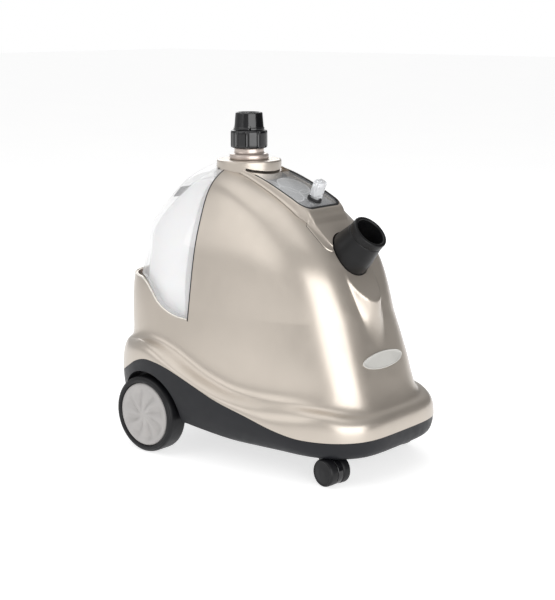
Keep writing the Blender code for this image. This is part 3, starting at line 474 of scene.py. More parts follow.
def weights(p, a, b, c):
    """Barycentric weights of p in the triangle a, b, c."""
    ab, ac, ap = b - a, c - a, p - a
    d00, d01, d11 = ab.dot(ab), ab.dot(ac), ac.dot(ac)
    d20, d21 = ap.dot(ab), ap.dot(ac)
    low = d00 * d11 - d01 * d01
    if abs(low) < 1e-30:
        return 1.0, 0.0, 0.0
    v = (d11 * d20 - d01 * d21) / low
    w = (d00 * d21 - d01 * d20) / low
    return 1 - v - w, v, w


def shade(obj, angle=35, surfaces=()):
    """Smooth shading with sharp corners kept. Faces that lie on one of the surfaces take its normals."""
    mesh = obj.data
    mesh.shade_smooth()
    mesh.set_sharp_from_angle(angle=math.radians(angle))
    if not surfaces:
        return obj
    made = [Vector(n.vector) for n in mesh.corner_normals]
    near = {}
    for face in mesh.polygons:
        facing = face.normal
        for loop_index in face.loop_indices:
            vertex = mesh.loops[loop_index].vertex_index
            for which, (tree, points, normals, triangles) in enumerate(surfaces):
                key = (which, vertex)
                if key not in near:
                    place, _, index, distance = tree.find_nearest(mesh.vertices[vertex].co, 0.00006)
                    if place is None:
                        near[key] = None
                    else:
                        a, b, c = triangles[index]
                        u, v, w = weights(place, points[a], points[b], points[c])
                        near[key] = (normals[a] * u + normals[b] * v + normals[c] * w).normalized()
                normal = near[key]
                if normal is not None and normal.dot(facing) > 0.85:
                    made[loop_index] = normal
                    break
    mesh.normals_split_custom_set([tuple(n) for n in made])
    return obj


def piece(obj, finish, body="base", stands_for=()):
    """Finishes a visible piece: its material, the body that it rides on and the nodes that it stands for."""
    obj.data.materials.clear()
    obj.data.materials.append(MATERIALS[finish])
    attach(obj, body)
    if stands_for:
        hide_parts(*stands_for)
    return obj


# ---------------------------------------------------------------- the body's surfaces


def around(inset, count=ROUND):
    """Angles of the body's rings, which stand closer together at its front."""
    return turns(count, inset, CROWD)


def with_nose(rings):
    """Draws the front of the wall out into the boss under the hose socket, whose end is slanted."""
    for ring in rings:
        for point in ring:
            x, y, z = point
            if abs(x) > NOSE_RADIUS + NOSE_FADE or y > 0 or not 140 < z < 240:
                continue
            side = abs(x) / NOSE_RADIUS
            bulge = NOSE_EDGE - NOSE_FALL * (side - NOSE_ROUND_TO)
            if side < NOSE_ROUND_TO:
                bulge = (1 - side**2) ** 0.5
            nose = max(NOSE_Y - NOSE_RADIUS * bulge, z - NOSE_SLANT)
            near = max(NOSE_BLEND - abs(y - nose), 0.0) / NOSE_BLEND
            fade = smooth(NOSE_RADIUS + NOSE_FADE, NOSE_RADIUS, abs(x))
            point[1] = min(y, nose) - near * near * NOSE_BLEND / 4 * fade
    return rings


def body_rings(inset, count):
    """Rings of the whole outer form: lip, shoulder, shelf, the hollow at the wall's foot, and the wall."""
    control = []
    for front_step, side_step in zip(SKIRT_FRONT, SKIRT_SIDE):
        ring = []
        for t in around(inset, count):
            y = skirt_point(t, inset)[1]
            share = smooth(-125, -40, y) * (1 - smooth(75, 125, y))
            extra, inward, rise = (a + (b - a) * share for a, b in zip(front_step, side_step))
            x, y = skirt_point(t, inset + extra)
            foot_x, foot_y, _ = body_point(t, along(CREASE_HEIGHT, y), inset)
            x += (foot_x - x) * inward
            y += (foot_y - y) * inward
            edge = along(EDGE_HEIGHT, y)
            crease = along(CREASE_HEIGHT, y)
            drop = inset * (1.3 * smooth(0.1, 0.8, rise) - 0.4 * (1 - smooth(0.0, 0.3, rise)))
            ring.append((x, y, edge + (crease - edge) * rise - drop))
        control.append(ring)
    for share in (0.16, 0.36, 0.62):
        ring = []
        for t in around(inset, count):
            _, y = skirt_point(t, 19)
            crease = along(CREASE_HEIGHT, y) - 1.3 * inset
            ring.append(body_point(t, crease + share * (165 - crease), inset))
        control.append(ring)
    for z in (165, 172, 179):
        control.append([body_point(t, z, inset) for t in around(inset, count)])
    low = spline(control, 6, sharp=(0,))
    low = [ring for ring in low if np.array(ring)[:, 2].max() < 171]
    heights = [*spaced(172, CROWN_LOW, RING_STEP), *CROWN]
    high = [[body_point(t, z, inset) for t in around(inset, count)] for z in heights]
    return settle(low, SKIRT_PASSES, 5) + settle(high, WALL_PASSES)


def body_form(name, inset, count=ROUND):
    """The whole outer form. Inside forms reach down below its lip."""
    rings = body_rings(inset, count)
    if not inset:
        rings = with_nose(rings)
    if inset > 0:
        rings.insert(0, np.array(rings[0]) * (1, 1, 0) + (0, 0, 20))
    return loft(name, rings)


def dome_form(name, inset, low, step=0.0, straight_below=0.0):
    """The wall above a height. Below straight_below it stands upright."""
    rings = []
    for z in [*spaced(low, CROWN_LOW, RING_STEP), *CROWN]:
        drop = max(straight_below - z, 0)
        ring = [body_point(t, z + drop, inset, step) for t in around(inset)]
        rings.append([(x, y, height - drop) for x, y, height in ring])
    return loft(name, settle(rings, WALL_PASSES))


def hose_frame():
    return {"place": HOSE_MOUTH, "turn": (math.radians(45), 0, 0)}


def knob_frame():
    return {"place": KNOB_PLACE, "turn": (math.radians(KNOB_TILT), 0, 0)}


def pole_frame(z=0.0):
    return {"place": (0, POLE_Y, z)}


def rim_line():
    """The cup's rim, seen from the side, from the seam to the rear."""
    return [(y, along(CUP_RIM, y)) for y in spaced(SEAM_Y, 164, 1.5)] + [(300, CUP_RIM[-1][1])]


def cup_solid(name, ahead=0.0):
    """Everything above the cup's rim and behind the seam."""
    rim = rim_line()
    ring = [(rim[0][0] - ahead, rim[0][1]), *rim[1:], (300, 400), (SEAM_Y - ahead, 400)]
    left, right = ([(x, y, z) for y, z in ring] for x in (-200, 200))
    return loft(name, [left, right])


def cup_wall(name, depth):
    """Everything below the cup's rim behind the seam."""
    line = [(y, z + GAP * 2) for y, z in rim_line()]
    low = CUP_RIM[0][1] - depth
    ring = [(SEAM_Y - 10, line[0][1]), *line, (300, low), (SEAM_Y - 10, low)]
    left, right = ([(x, y, z) for y, z in ring[::-1]] for x in (-210, 210))
    return loft(name, [left, right])


def ribbon(name, rear, front, half_width, top, thick, corner, round_edge=0.0):
    """A slab along the spine's top line, with rounded front corners and, if wanted, rounded upper edges."""
    stations = spaced(rear, front + corner, 2.0) + [
        front + corner * (1 - math.sin(a)) for a in [0.12 * i for i in range(1, 13)] + [math.pi / 2]
    ]
    rings = []
    for y in stations:
        into = max(0.0, (front + corner - y) / corner)
        narrowing = SPINE_TAPER * smooth(-20, 60, y)
        half = half_width - corner + corner * math.sqrt(max(0.0, 1 - into * into)) - narrowing
        z = along(SPINE_TOP, y) - top
        edge = min(round_edge, thick * 0.6)
        if edge:
            turn = [math.radians(a) for a in (0, 22, 45, 67, 90)]
            right = [(half - edge + edge * math.cos(a), y, z - edge + edge * math.sin(a)) for a in turn]
            left = [(-side, y, height) for side, _, height in right[::-1]]
            ring = [(half, y, z - thick), *right, *left, (-half, y, z - thick)]
        else:
            ring = [(half, y, z - thick), (half, y, z), (-half, y, z), (-half, y, z - thick)]
        rings.append(ring)
    return loft(name, rings)


def pocket():
    """Room for the hose socket."""
    return rod("pocket", POCKET_RADIUS, -HOSE_LENGTH, 14, 96, **hose_frame())


def platform_hole(extra, low=280, segments=128):
    """Room for the pole platform, wider than it by extra, from a height upwards."""
    return rod("platform_hole", PLATFORM_RADIUS + extra, low, 400, segments, **pole_frame())


def window_space():
    """Room for the window, its gasket and the panel under it."""
    return ribbon("window_space", 60, -43.5, 34.3, -3, 12.5, 13)


def behind_seam(offset, low, high=400):
    """Everything from offset behind the seam to the rear, between two heights."""
    return block("behind_seam", (-200, SEAM_Y + offset, low), (200, 300, high))


# ---------------------------------------------------------------- body pieces


def floor_at(y):
    for (y0, z0), (y1, z1) in zip(FLOOR_LINE, FLOOR_LINE[1:]):
        if y < y1:
            return z0 + (z1 - z0) * max((y - y0) / (y1 - y0), 0.0)
    return FLOOR_LINE[-1][1]


def build_housing():
    outer = body_form("housing", 0.0)
    smooth_surfaces = [surface_of(outer)]
    inner = body_form("hollow", WALL, 150)
    cut(outer, inner)
    cut(outer, cup_solid("tank_space", 0.9))
    cut(outer, cut(spine_form("spine_seat", SPINE_GAP), body_form("seat_floor", SPINE_DEPTH + GAP)))
    cut(outer, platform_hole(GAP))
    cut(outer, window_space())
    cut(outer, pocket())
    cut(outer, rod("knob_space", 5.5, -14, 0, 24, **knob_frame()))
    shade(outer, 30, smooth_surfaces)
    piece(outer, "champagne", "base", ("housing_shell",))


def build_seam():
    """The cup's rim as a rounded lip, paler than the body as a painted highlight, and the dark bead down the
    seam in front of the tank, painted shade of the gap there.
    """
    line = []
    for t in spaced(0.0, math.pi, 0.012):
        z = CUP_TOP_Z
        for _ in range(6):
            z = along(CUP_RIM, body_point(t, z, 0)[1])
        x, y, _ = body_point(t, z, 0.55)
        if y > SEAM_Y + 0.6:
            line.append((x, y, z - 0.35))
    # The lip is a real rounded edge; its paler champagne is a painted highlight along it.
    lip = tube("cup_lip", line, LIP_RADIUS)
    piece(shade(lip, 50), "champagne_painted_highlight", "base", ())
    # A black strip down the seam in front of the tank: painted shade of the gap between tank and housing.
    bead = dome_form("painted_seam_shade_bead", -0.15, 156)
    cut(bead, dome_form("bead_back", 2.6, 150))
    keep(bead, block("limit", (-200, SEAM_Y - 1.1, 158), (200, SEAM_Y + 0.25, 400)))
    cut(bead, platform_hole(0.6))
    piece(shade(bead, 40), "black_seal_and_seam_shade", "base", ())


def body_tree():
    body = body_form("probe", 0.001)
    tree = surface_of(body)[0]
    bpy.data.objects.remove(body, do_unlink=True)
    return tree


def height_at(x, y, tree):
    """Height of the body's surface over (x, y)."""
    place = tree.ray_cast(Vector((x, y - ORIGIN_Y, 500)) * MM, Vector((0, 0, -1)))[0]
    return place.z / MM


def spine_ring(y, top, half_top, half_foot, grow, tree):
    """One cross-section of the spine: rounded shoulders, then a wall that flares out to a thin foot."""
    foot = height_at(half_foot, y, tree) + 0.75
    half_top, half_foot, top = half_top + grow, half_foot + grow, max(top, height_at(0, y, tree) + 0.5) + grow
    corner = min(SPINE_CORNER + 2.6 * smooth(-30, -50, y), max((top - foot) * 0.4, 0.3))
    right = [(half_foot, y, foot - 14), (half_foot, y, foot - 7), (half_foot, y, foot - 0.5)]
    right += [(half_foot - 0.12, y, foot - 0.14), (half_foot - 0.45, y, foot)]
    wall = top - corner - foot
    for share, out in ((0.05, 0.5), (0.16, 0.34), (0.4, 0.16), (0.7, 0.05)):
        right.append((half_top + (half_foot - half_top) * out, y, foot + wall * share))
    for a in range(0, 91, 10):
        angle = math.radians(a)
        across, up = corner * math.cos(angle), corner * math.sin(angle)
        right.append((half_top - corner + across, y, top - corner + up))
    half = right[-1][0]
    right += [(half * 0.66, y, top + 0.15), (half * 0.33, y, top + 0.25)]
    return right + [(-x, y, z) for x, y, z in right[::-1]]


def spine_form(name, grow=0.0):
    tree = body_tree()
    rings = []
    for y in (88, 74, 60, 46, 32, 18, 4, -10, -24, -34, -41, -45):
        half = 35.4 - SPINE_TAPER * smooth(-20, 60, y) - 3.8 * smooth(-32, -47, y)
        foot = half + 1.4 + 0.8 * smooth(20, -40, y)
        rings.append(spine_ring(y, along(SPINE_TOP, y) - 1.2 * smooth(-40, -46, y), half, foot, grow, tree))
    for y, top, half_top, half_foot in SPINE_FRONT:
        rings.append(spine_ring(y, top, half_top, half_foot, grow, tree))
    return loft(name, through(rings, 6))


def build_spine():
    spine = spine_form("spine")
    surfaces = [surface_of(spine)]
    cut(spine, body_form("housing_over", SPINE_DEPTH), platform_hole(GAP))
    cut(spine, window_space(), pocket())
    shade(spine, 30, surfaces)
    piece(spine, "champagne", "base", ("spine_cover",))
    # A thin dark brown strip in the groove round the spine's foot: painted shade of that crease.
    line = keep(spine_form("spine_line", SPINE_GAP - 0.05), body_form("line_top", 0.5))
    cut(line, body_form("line_floor", SPINE_DEPTH + 0.25), spine_form("line_side", 0.05))
    cut(line, platform_hole(GAP), window_space(), pocket())
    piece(shade(line, 40), "painted_crease_shade", "base", ())


def pan_form(name, inset):
    rings = []
    for (side_extra, side_depth), (front_extra, front_depth) in zip(PAN_SIDE, PAN_FRONT):
        ring = []
        for t in around(inset):
            share = smooth(-125, -60, skirt_point(t, inset)[1])
            extra = front_extra + (side_extra - front_extra) * share
            depth = front_depth + (side_depth - front_depth) * share
            x, y = skirt_point(t, inset + extra)
            edge = along(EDGE_HEIGHT, y) - GAP - inset * 0.4
            floor = FLOOR_LINE[0][1] + inset
            ring.append((x, y, edge + (floor - edge) * depth))
        rings.append(ring)
    rings = through(rings, 6)
    if inset:
        rings.append([(x, y, 200) for x, y, _ in rings[-1]])
    return loft(name, rings)


def ramp_form(name, lift):
    """Everything under the rising part of the pan's floor."""
    start, low = FLOOR_LINE[0][0], FLOOR_LINE[0][1] - 8 + lift
    ring = [(y, z + lift) for y, z in FLOOR_LINE]
    ring += [(300, FLOOR_LINE[-1][1] + lift), (300, 0), (start - 60, 0), (start - 60, low), (start - 4, low)]
    left, right = ([(x, y, z) for y, z in ring[::-1]] for x in (-200, 200))
    return loft(name, [left, right])


def screw_places():
    return ((-82, -45), (82, -45), (-90, 55), (90, 55))


def build_pan():
    pan = pan_form("pan", 0.0)
    surfaces = [surface_of(pan)]
    hollow = pan_form("pan_hollow", FLOOR_THICK)
    cut(pan, ramp_form("ramp", 0.0))
    cut(hollow, ramp_form("ramp_in", FLOOR_THICK))
    spaces = []
    for side in (-1, 1):
        across = {"place": (0, WHEEL_Y, WHEEL_RADIUS), "turn": (0, side * math.pi / 2, 0)}
        cut(hollow, rod("well_form", WELL_RADIUS + 3, 97.9, 170, 96, **across))
        stem = {"place": (side * CASTER_X, CASTER_Y, 0)}
        cut(hollow, rod("caster_boss", 9, 0, 50, 48, **stem))
        roof = CASTER_RECESS_Z + FLOOR_THICK
        cut(hollow, rod("caster_roof", CASTER_RECESS_RADIUS + FLOOR_THICK, 0, roof, 96, **stem))
        spaces.append(rod("caster_recess", CASTER_RECESS_RADIUS, 20, CASTER_RECESS_Z, 96, **stem))
        spaces.append(rod("well_space", WELL_RADIUS, 103.5, 170, 128, **across))
        spaces.append(rod("stem_hole", 3.3, 20, 45, 32, **stem))
    cut(pan, hollow)
    cut(pan, *spaces)
    across = {"place": (0, WHEEL_Y, WHEEL_RADIUS), "turn": (0, math.pi / 2, 0)}
    cut(pan, rod("axle_hole", 4.3, -120, 120, 32, **across))
    for x, y in screw_places():
        cut(pan, rod("screw_hole", 2.4, 20, 60, 24, place=(x, y, 0)))
        cut(pan, rod("screw_sink", 4.3, 20, floor_at(y) + 1.6, 32, place=(x, y, 0)))
    cut(pan, rod("drain_hole", 8.3, 20, 60, 48, place=(0, 84, 0)))
    cut(pan, rod("gland_hole", 6.3, 180, 230, 40, place=(-40, 0, 64), turn=(-math.pi / 2, 0, 0)))
    shade(pan, 30, surfaces)
    piece(pan, "charcoal", "base", ("base_pan",))


def build_tank():
    shell = dome_form("tank", 0.8, 140, TANK_STEP)
    keep(shell, behind_seam(0.4, TANK_BOTTOM_Z))
    low_form = dome_form("low_form", WALL + 1.2, 130, TANK_STEP, 200)
    cut(shell, cut(cup_wall("side_space", 60), low_form))
    cavity = dome_form("cavity", 6.4, 130, TANK_STEP, 200)
    keep(cavity, behind_seam(3, TANK_BOTTOM_Z + 2.5))
    cut(cavity, platform_hole(3.6, 120, 96))
    cut(shell, cavity)
    cut(shell, platform_hole(0.9, 120, 96))
    add(shell, rod("neck", 19, 137, TANK_BOTTOM_Z + 1, 64, place=(0, CAP_Y, 0)))
    cut(shell, rod("mouth", 16.5, 130, TANK_BOTTOM_Z + 6, 64, place=(0, CAP_Y, 0)))
    shade(shell, 30)
    piece(shell, "clear", "tank", ("tank_shell",))

    liner = dome_form("liner", 7.4, 145, TANK_STEP, 200)
    keep(liner, behind_seam(15, BAY_FLOOR_Z + 8, 309))
    cut(liner, platform_hole(8, 120, 96))
    hollow = dome_form("liner_hollow", 9.4, 135, TANK_STEP, 200)
    keep(hollow, behind_seam(17, 120, 306.5))
    cut(hollow, platform_hole(10, 110, 96))
    cut(liner, hollow)
    shade(liner, 30)
    # The liner's finish glows faintly: painted light that makes it whiter.
    piece(liner, "frosted", "tank", ("tank_liner",))

    grip = dome_form("grip", -1.0, 250, TANK_STEP)
    cut(grip, dome_form("grip_back", 0.5, 240, TANK_STEP))
    keep(grip, block("limit", (-24, 110, 286), (24, 300, 299)))
    shade(grip, 30)
    piece(grip, "charcoal", "tank", ("tank_grip",))


def build_spring():
    """The valve's coil spring, on a mesh of its own. On the real steamer it gets shorter as the valve opens."""
    line = []
    for turn in spaced(0.0, SPRING_TURNS, 0.02):
        angle = turn * math.tau
        line.append((SPRING_RADIUS * math.cos(angle), CAP_Y + SPRING_RADIUS * math.sin(angle),
                     SPRING_LOW + turn * SPRING_PITCH))
    coil = tube("valve_coil", line, SPRING_WIRE)
    piece(shade(coil, 40), "steel", "tank", ("valve_spring",))
    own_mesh(coil)


def build_bay():
    bay = block("bay", (-200, SEAM_Y - 3, BAY_FLOOR_Z - 2.5), (200, 300, 400))
    space = block("space", (-250, SEAM_Y - 0.5, BAY_FLOOR_Z), (250, 350, 450))
    cut(space, rod("column", 37.4, 100, PLATFORM_BOTTOM - GAP, 128, **pole_frame()))
    keep(bay, dome_form("limit", WALL + 0.7, 140))
    cut(bay, space)
    cut(bay, platform_hole(0.6, PLATFORM_BOTTOM - 0.6))
    cut(bay, rod("column_hollow", 35, 120, PLATFORM_BOTTOM - 3, 96, **pole_frame()))
    cut(bay, rod("seat_hole", 24.3, 130, 160, 64, place=(0, CAP_Y, 0)))
    shade(bay, 30)
    piece(bay, "smoke", "base", ("tank_bay",))


# ---------------------------------------------------------------- round pieces


def build_pole_socket():
    top = PLATFORM_TOP
    profile = fillet(
        [(PLATFORM_RADIUS, PLATFORM_BOTTOM), (PLATFORM_RADIUS, top - 0.2, 4.2),
         (PLATFORM_RADIUS - 4.4, top, 1.5), (16.4, top), (16.4, 328), (32, 328), (32, 299), (16.4, 299),
         (16.4, PLATFORM_BOTTOM)], 0.5, True)
    platform = turned("platform", profile, 128, **pole_frame())
    cut(platform, ribbon("shadow_slot", 60, 0, 33.0, -2.3, 3.4, 13))
    shade(platform, 40)
    piece(platform, "champagne", "base", ("pole_platform",))
    profile = fillet(
        [(16, 297), (16, top + GAP), (22.9, top + GAP), (23.2, 339.4), (22.9, 342.6, 1.2), (20.6, 343.7),
         (17.9, 344.2, 1.0), (17.4, 346), (17.4, 349.6), (15.2, 349.8), (15.2, 362), (POLE_BORE + 0.4, 362),
         (POLE_BORE + 0.4, 300.5), (3, 300.5), (3, 297)], 0.5, True)
    neck = shade(turned("neck", profile, 96, **pole_frame()), 40)
    piece(neck, "champagne_pink", "base", ("pole_neck",))

    def ribs(r, z, a):
        """Ten shallow hollows down the nut's side, open below its rounded shoulders."""
        if r < 19.9:
            return r, z
        share = (a / math.tau * 10 + 0.5) % 1.0
        hollow = max(0.0, 1 - (abs(share - 0.5) / 0.17) ** 2) ** 0.5
        reach = smooth(0.2, 2.4, z) * (1 - smooth(17.4, 20.4, z))
        return r - 1.9 * hollow * reach, z

    profile = [(19.6, 0), (21.0, 0.5), (21.5, 1.6)]
    profile += [(21.6, z) for z in spaced(2.4, 17.6, 1.9)]
    profile += [(21.5, 18.8), (21.0, 19.9), (20.2, 20.6), (19.0, 20.8)]
    profile += [(15.8, 20.8), (15.6, 20.5), (15.6, 0.2), (15.9, 0)]
    nut = shade(turned("nut", profile, 360, ribs, **pole_frame(NUT_Z)), 50)
    piece(nut, "black_gloss", "lock_nut", ("lock_nut",))

    profile = fillet(
        [(14.9, 362.5), (14.9, 371.3), (18.2, 371.4), (18.1, 373.6), (17.3, 374.2), (15.9, 390.4, 0.8),
         (15.0, COLLET_TOP, 0.5), (POLE_BORE, COLLET_TOP), (POLE_BORE, 362.5)], 0.4, True)
    collet = turned("collet", profile, 96, **pole_frame())
    for i in range(4):
        angle = i * math.pi / 2 + math.pi / 4
        cut(collet, block("slit", (8, -1.1, 371), (30, 1.1, 376), place=(0, POLE_Y, 0), turn=(0, 0, angle)))
    shade(collet, 40)
    piece(collet, "black_gloss", "base", ("pole_collet",))


def build_hose_socket():
    flange = POCKET_RADIUS - GAP
    profile = fillet(
        [(flange, -HOSE_LENGTH + GAP), (flange, -HOSE_LENGTH + 3.5), (POCKET_RADIUS - 1, -HOSE_LENGTH + 4.3),
         (26.4, -HOSE_LENGTH + 5.6, 1.0), (25.9, -33, 6), (23.2, -20, 6), (HOSE_RADIUS + 0.15, -9.6),
         (HOSE_RADIUS - 0.5, -9.2), (HOSE_RADIUS - 0.5, -8.4), (HOSE_RADIUS + 0.1, -8),
         (HOSE_RADIUS + 0.1, -1.0, 1.6),
         (HOSE_RADIUS - 1.6, 0, 1.2), (HOSE_BORE + 1.2, 0, 0.8), (HOSE_BORE, -1.2), (HOSE_BORE - 0.6, -28),
         (8.8, -28), (8.8, -HOSE_LENGTH + GAP)], 0.35, True)
    socket = shade(turned("hose_tube", profile, 128, **hose_frame()), 40)
    piece(socket, "matte_black", "base", ("hose_socket",))


def build_wheels():
    tyre = fillet(
        [(37.6, 1.2), (42.5, 0, 1.0), (44.4, 1.0, 1.0), (WHEEL_RADIUS, 3.2, 1.2), (WHEEL_RADIUS, 21.5, 1.4),
         (44.2, 24.0, 1.0), (42.9, 24.6, 0.4), (42.6, 25.3, 0.3), (41.6, 25.9, 0.6), (39.0, 26.0, 0.6),
         (38.0, 25.0, 0.4), (37.6, 24.6)], 0.6, True)
    rim = fillet(
        [(4.3, 0.8), (11, 0.8), (11, 6), (33.5, 6), (33.5, 2.5), (37.3, 2.5), (37.3, 21.2), (33.5, 21.2),
         (33.5, 10), (11, 10), (11, 19.5), (4.3, 19.5)], 0.5, True)
    for side, name in ((-1, "left"), (1, "right")):
        placing = {"place": (side * WHEEL_INNER_X, WHEEL_Y, WHEEL_RADIUS), "turn": (0, side * math.pi / 2, 0)}
        body = f"wheel_{name}"
        for part, profile, segments, finish in (("tyre", tyre, 144, "rubber"), ("rim", rim, 96, "charcoal")):
            obj = shade(turned(f"{part}_{name}", profile, segments, **placing), 35)
            piece(obj, finish, body, (f"rear_{part}_{name}",))

        def petals(r, z, a):
            """Eight soft petals on the cap's face, each leaning a little round."""
            if z < 22.4 or r > 35.2:
                return r, z
            lean = a + 0.012 * (r - 18)
            wave = math.cos(8 * lean)
            spread = smooth(3, 15, r) * (1 - smooth(26, 33.5, r))
            valley = 0.5 - 0.5 * wave
            return r, z - 2.7 * spread * valley**1.25 - 0.3 * spread

        face = [(35.8, 25.0), (35.2, 25.3)]
        face += [(r, 25.35 + 1.25 * (1 - (r / 35) ** 2)) for r in spaced(34.4, 0.8, 1.2)]
        profile = [(0, 22.5), (5.8, 22.5), (6.0, 21.6), (36.7, 21.6), (37.15, 22.1), (37.2, 23.4)]
        profile += [(36.6, 24.5), *face, (0, 26.6)]
        cap = shade(turned(f"cap_{name}", profile, 192, petals, **placing), 40)
        piece(cap, "cream", body, (f"hub_cap_{name}",))


def build_casters():
    radius = CASTER_RADIUS
    wheel = fillet(
        [(0, 13.4), (2.4, 13.4), (2.4, 4.0), (14.2, 4.0, 0.8), (radius, 5.2, 0.8), (radius, 13.0, 1.0),
         (13.9, 14.6, 0.5), (13.2, 14.6, 0.3), (12.8, 14.0, 0.3), (11.0, 14.2, 0.6), (4.6, 15.0, 0.6),
         (0, 15.0)], 0.5)
    for side, name, heading in CASTERS:
        swing = math.radians(heading)
        stem = (side * CASTER_X, CASTER_Y, 0)
        hub = (stem[0] + CASTER_TRAIL * math.sin(swing), stem[1] - CASTER_TRAIL * math.cos(swing), radius)
        across = {"place": hub, "turn": (0, math.pi / 2, swing)}
        profile = fillet([(0, -3.75), (15.0, -3.75), (15.0, 3.75), (0, 3.75)], 1.0)
        fork = turned(f"hood_{name}", profile, 72, **across)
        neck = block("neck", (-3.2, -CASTER_TRAIL - 2, 16), (3.2, 4.6, 30.6), place=stem, turn=(0, 0, swing))
        add(fork, neck)
        add(fork, rod("stem", 3.0, 24, 45, 32, place=stem))
        cut(fork, rod("bore", 2.4, -10, 10, 32, **across))
        pin = fillet([(0, -13.2), (2.2, -13.2), (2.2, 13.2), (0, 13.2)], 0.4)
        axle = shade(turned(f"axle_{name}", pin, 32, **across), 35)
        piece(axle, "steel", f"caster_{name}", (f"caster_axle_{name}",))
        shade(fork, 35)
        piece(fork, "black_gloss", f"caster_{name}", (f"caster_fork_{name}",))
        for way, end in ((-1, "a"), (1, "b")):
            roller = turned(f"roller_{name}_{end}", wheel, 96, place=hub, turn=(0, way * math.pi / 2, swing))
            body = f"caster_{name}_wheel_{end}"
            piece(shade(roller, 35), "rubber", body, (f"caster_wheel_{name}_{end}",))


# ---------------------------------------------------------------- window, knob and badge


def build_window():
    ring = ribbon("window_seal", 34, -42.6, 33.6, -0.1, 3.5, 12.2, 0.8)
    cut(ring, ribbon("inside", 70, -40.9, 31.7, -5, 12, 10.8))
    cut(ring, platform_hole(0.9))
    piece(shade(ring, 40), "black_seal_and_seam_shade", "base", ("window_gasket",))
    cover = ribbon("window_pane", 34, -40.6, 31.4, 0.7, 2.0, 10.5, 0.5)
    cut(cover, platform_hole(0.9))
    cut(cover, rod("knob_hole", 8.9, -30, 30, 64, **knob_frame()))
    piece(shade(cover, 40), "pane", "base", ("window_cover",))
    tray = ribbon("panel", 34, -42.4, 33.2, 7.4, 1.6, 12, 0.3)
    cut(tray, platform_hole(0.9))
    cut(tray, rod("shaft_hole", 4.0, -30, 30, 48, **knob_frame()))
    piece(shade(tray, 40), "silver_print", "base", ("display_tray",))


def build_knob():
    profile = fillet([(5.6, 0.3), (8.4, 0.3), (8.4, 4.2), (7.6, 5.2), (6.4, 5.2), (5.6, 4.4)], 0.4, True)
    ring = shade(turned("knob_seat", profile, 64, **knob_frame()), 40)
    piece(ring, "black_seal_and_seam_shade", "base", ("knob_ring",))
    stem = [(0, -8), (3.4, -8), (3.6, -7.8), (3.6, 0.5), (5.1, 0.7), (5.3, 0.9), (5.3, 7.2), (5.5, 7.4)]
    stem = [(r, z, 0) for r, z in stem]
    slab = [(7.6, 7.6, 0), (8.1, 7.9, 0.4), (8.4, 8.6, 0.8), (8.4, 9.3, 1)]
    slab += [(8.4, z, 1) for z in spaced(10, 21.5, 1.2)]
    slab += [(8.3, 22.8, 1), (7.9, 24.2, 1), (7.1, 25.3, 1), (5.9, 26.1, 1), (4.0, 26.6, 1), (1.6, 26.8, 1)]
    rings = []
    for r, z, flat in stem + slab:
        if r <= 0:
            continue
        ring = []
        for a in turns(72, 1):
            x, y = r * math.cos(a), r * math.sin(a)
            limit = KNOB_HALF_THICK * min(1.0, r / KNOB_FULL_FROM)
            start, room = limit * 0.8, limit * 0.2
            if flat and abs(y) > start:
                bent = start + room * (1 - math.exp(-(abs(y) - start) / room))
                y = math.copysign(abs(y) * (1 - flat) + bent * flat, y)
            ring.append((x, y, z))
        rings.append(ring)
    knob = shade(loft("knob", rings, **knob_frame()), 40)
    piece(knob, "clear_knob", "steam_knob", ("steam_knob",))


def front_at(x, z, tree):
    """The point of the housing's front face straight behind (x, z)."""
    place, normal, _, _ = tree.ray_cast(Vector((x * MM, -0.3, z * MM)), Vector((0, 1, 0)))
    return place / MM, normal


def build_badge():
    tree = body_tree()
    rings = []
    levels = [(0.3, 1.0), (0.9, 1.0), (1.25, 0.985), (1.42, 0.965), (1.5, 0.94), (1.5, 0.9)]
    levels += [(1.2, 0.885), (1.15, 0.87), *((1.15, share) for share in (0.75, 0.6, 0.45, 0.3, 0.15, 0.05))]
    for height, share in levels:
        ring = []
        for a in turns(96):
            half = BADGE_HALF[0] - BADGE_HALF[1] * (1 - share) if share > 0.86 else BADGE_HALF[0] * share
            x = half * math.cos(a)
            z = BADGE_Z + BADGE_HALF[1] * share * math.sin(a)
            place, normal = front_at(x, z, tree)
            ring.append(tuple(place + normal * height + Vector((0, ORIGIN_Y, 0))))
        rings.append(ring)
    badge = shade(loft("badge", rings), 40)
    piece(badge, "silver_plate", "base", ("front_badge",))


# ---------------------------------------------------------------- materials

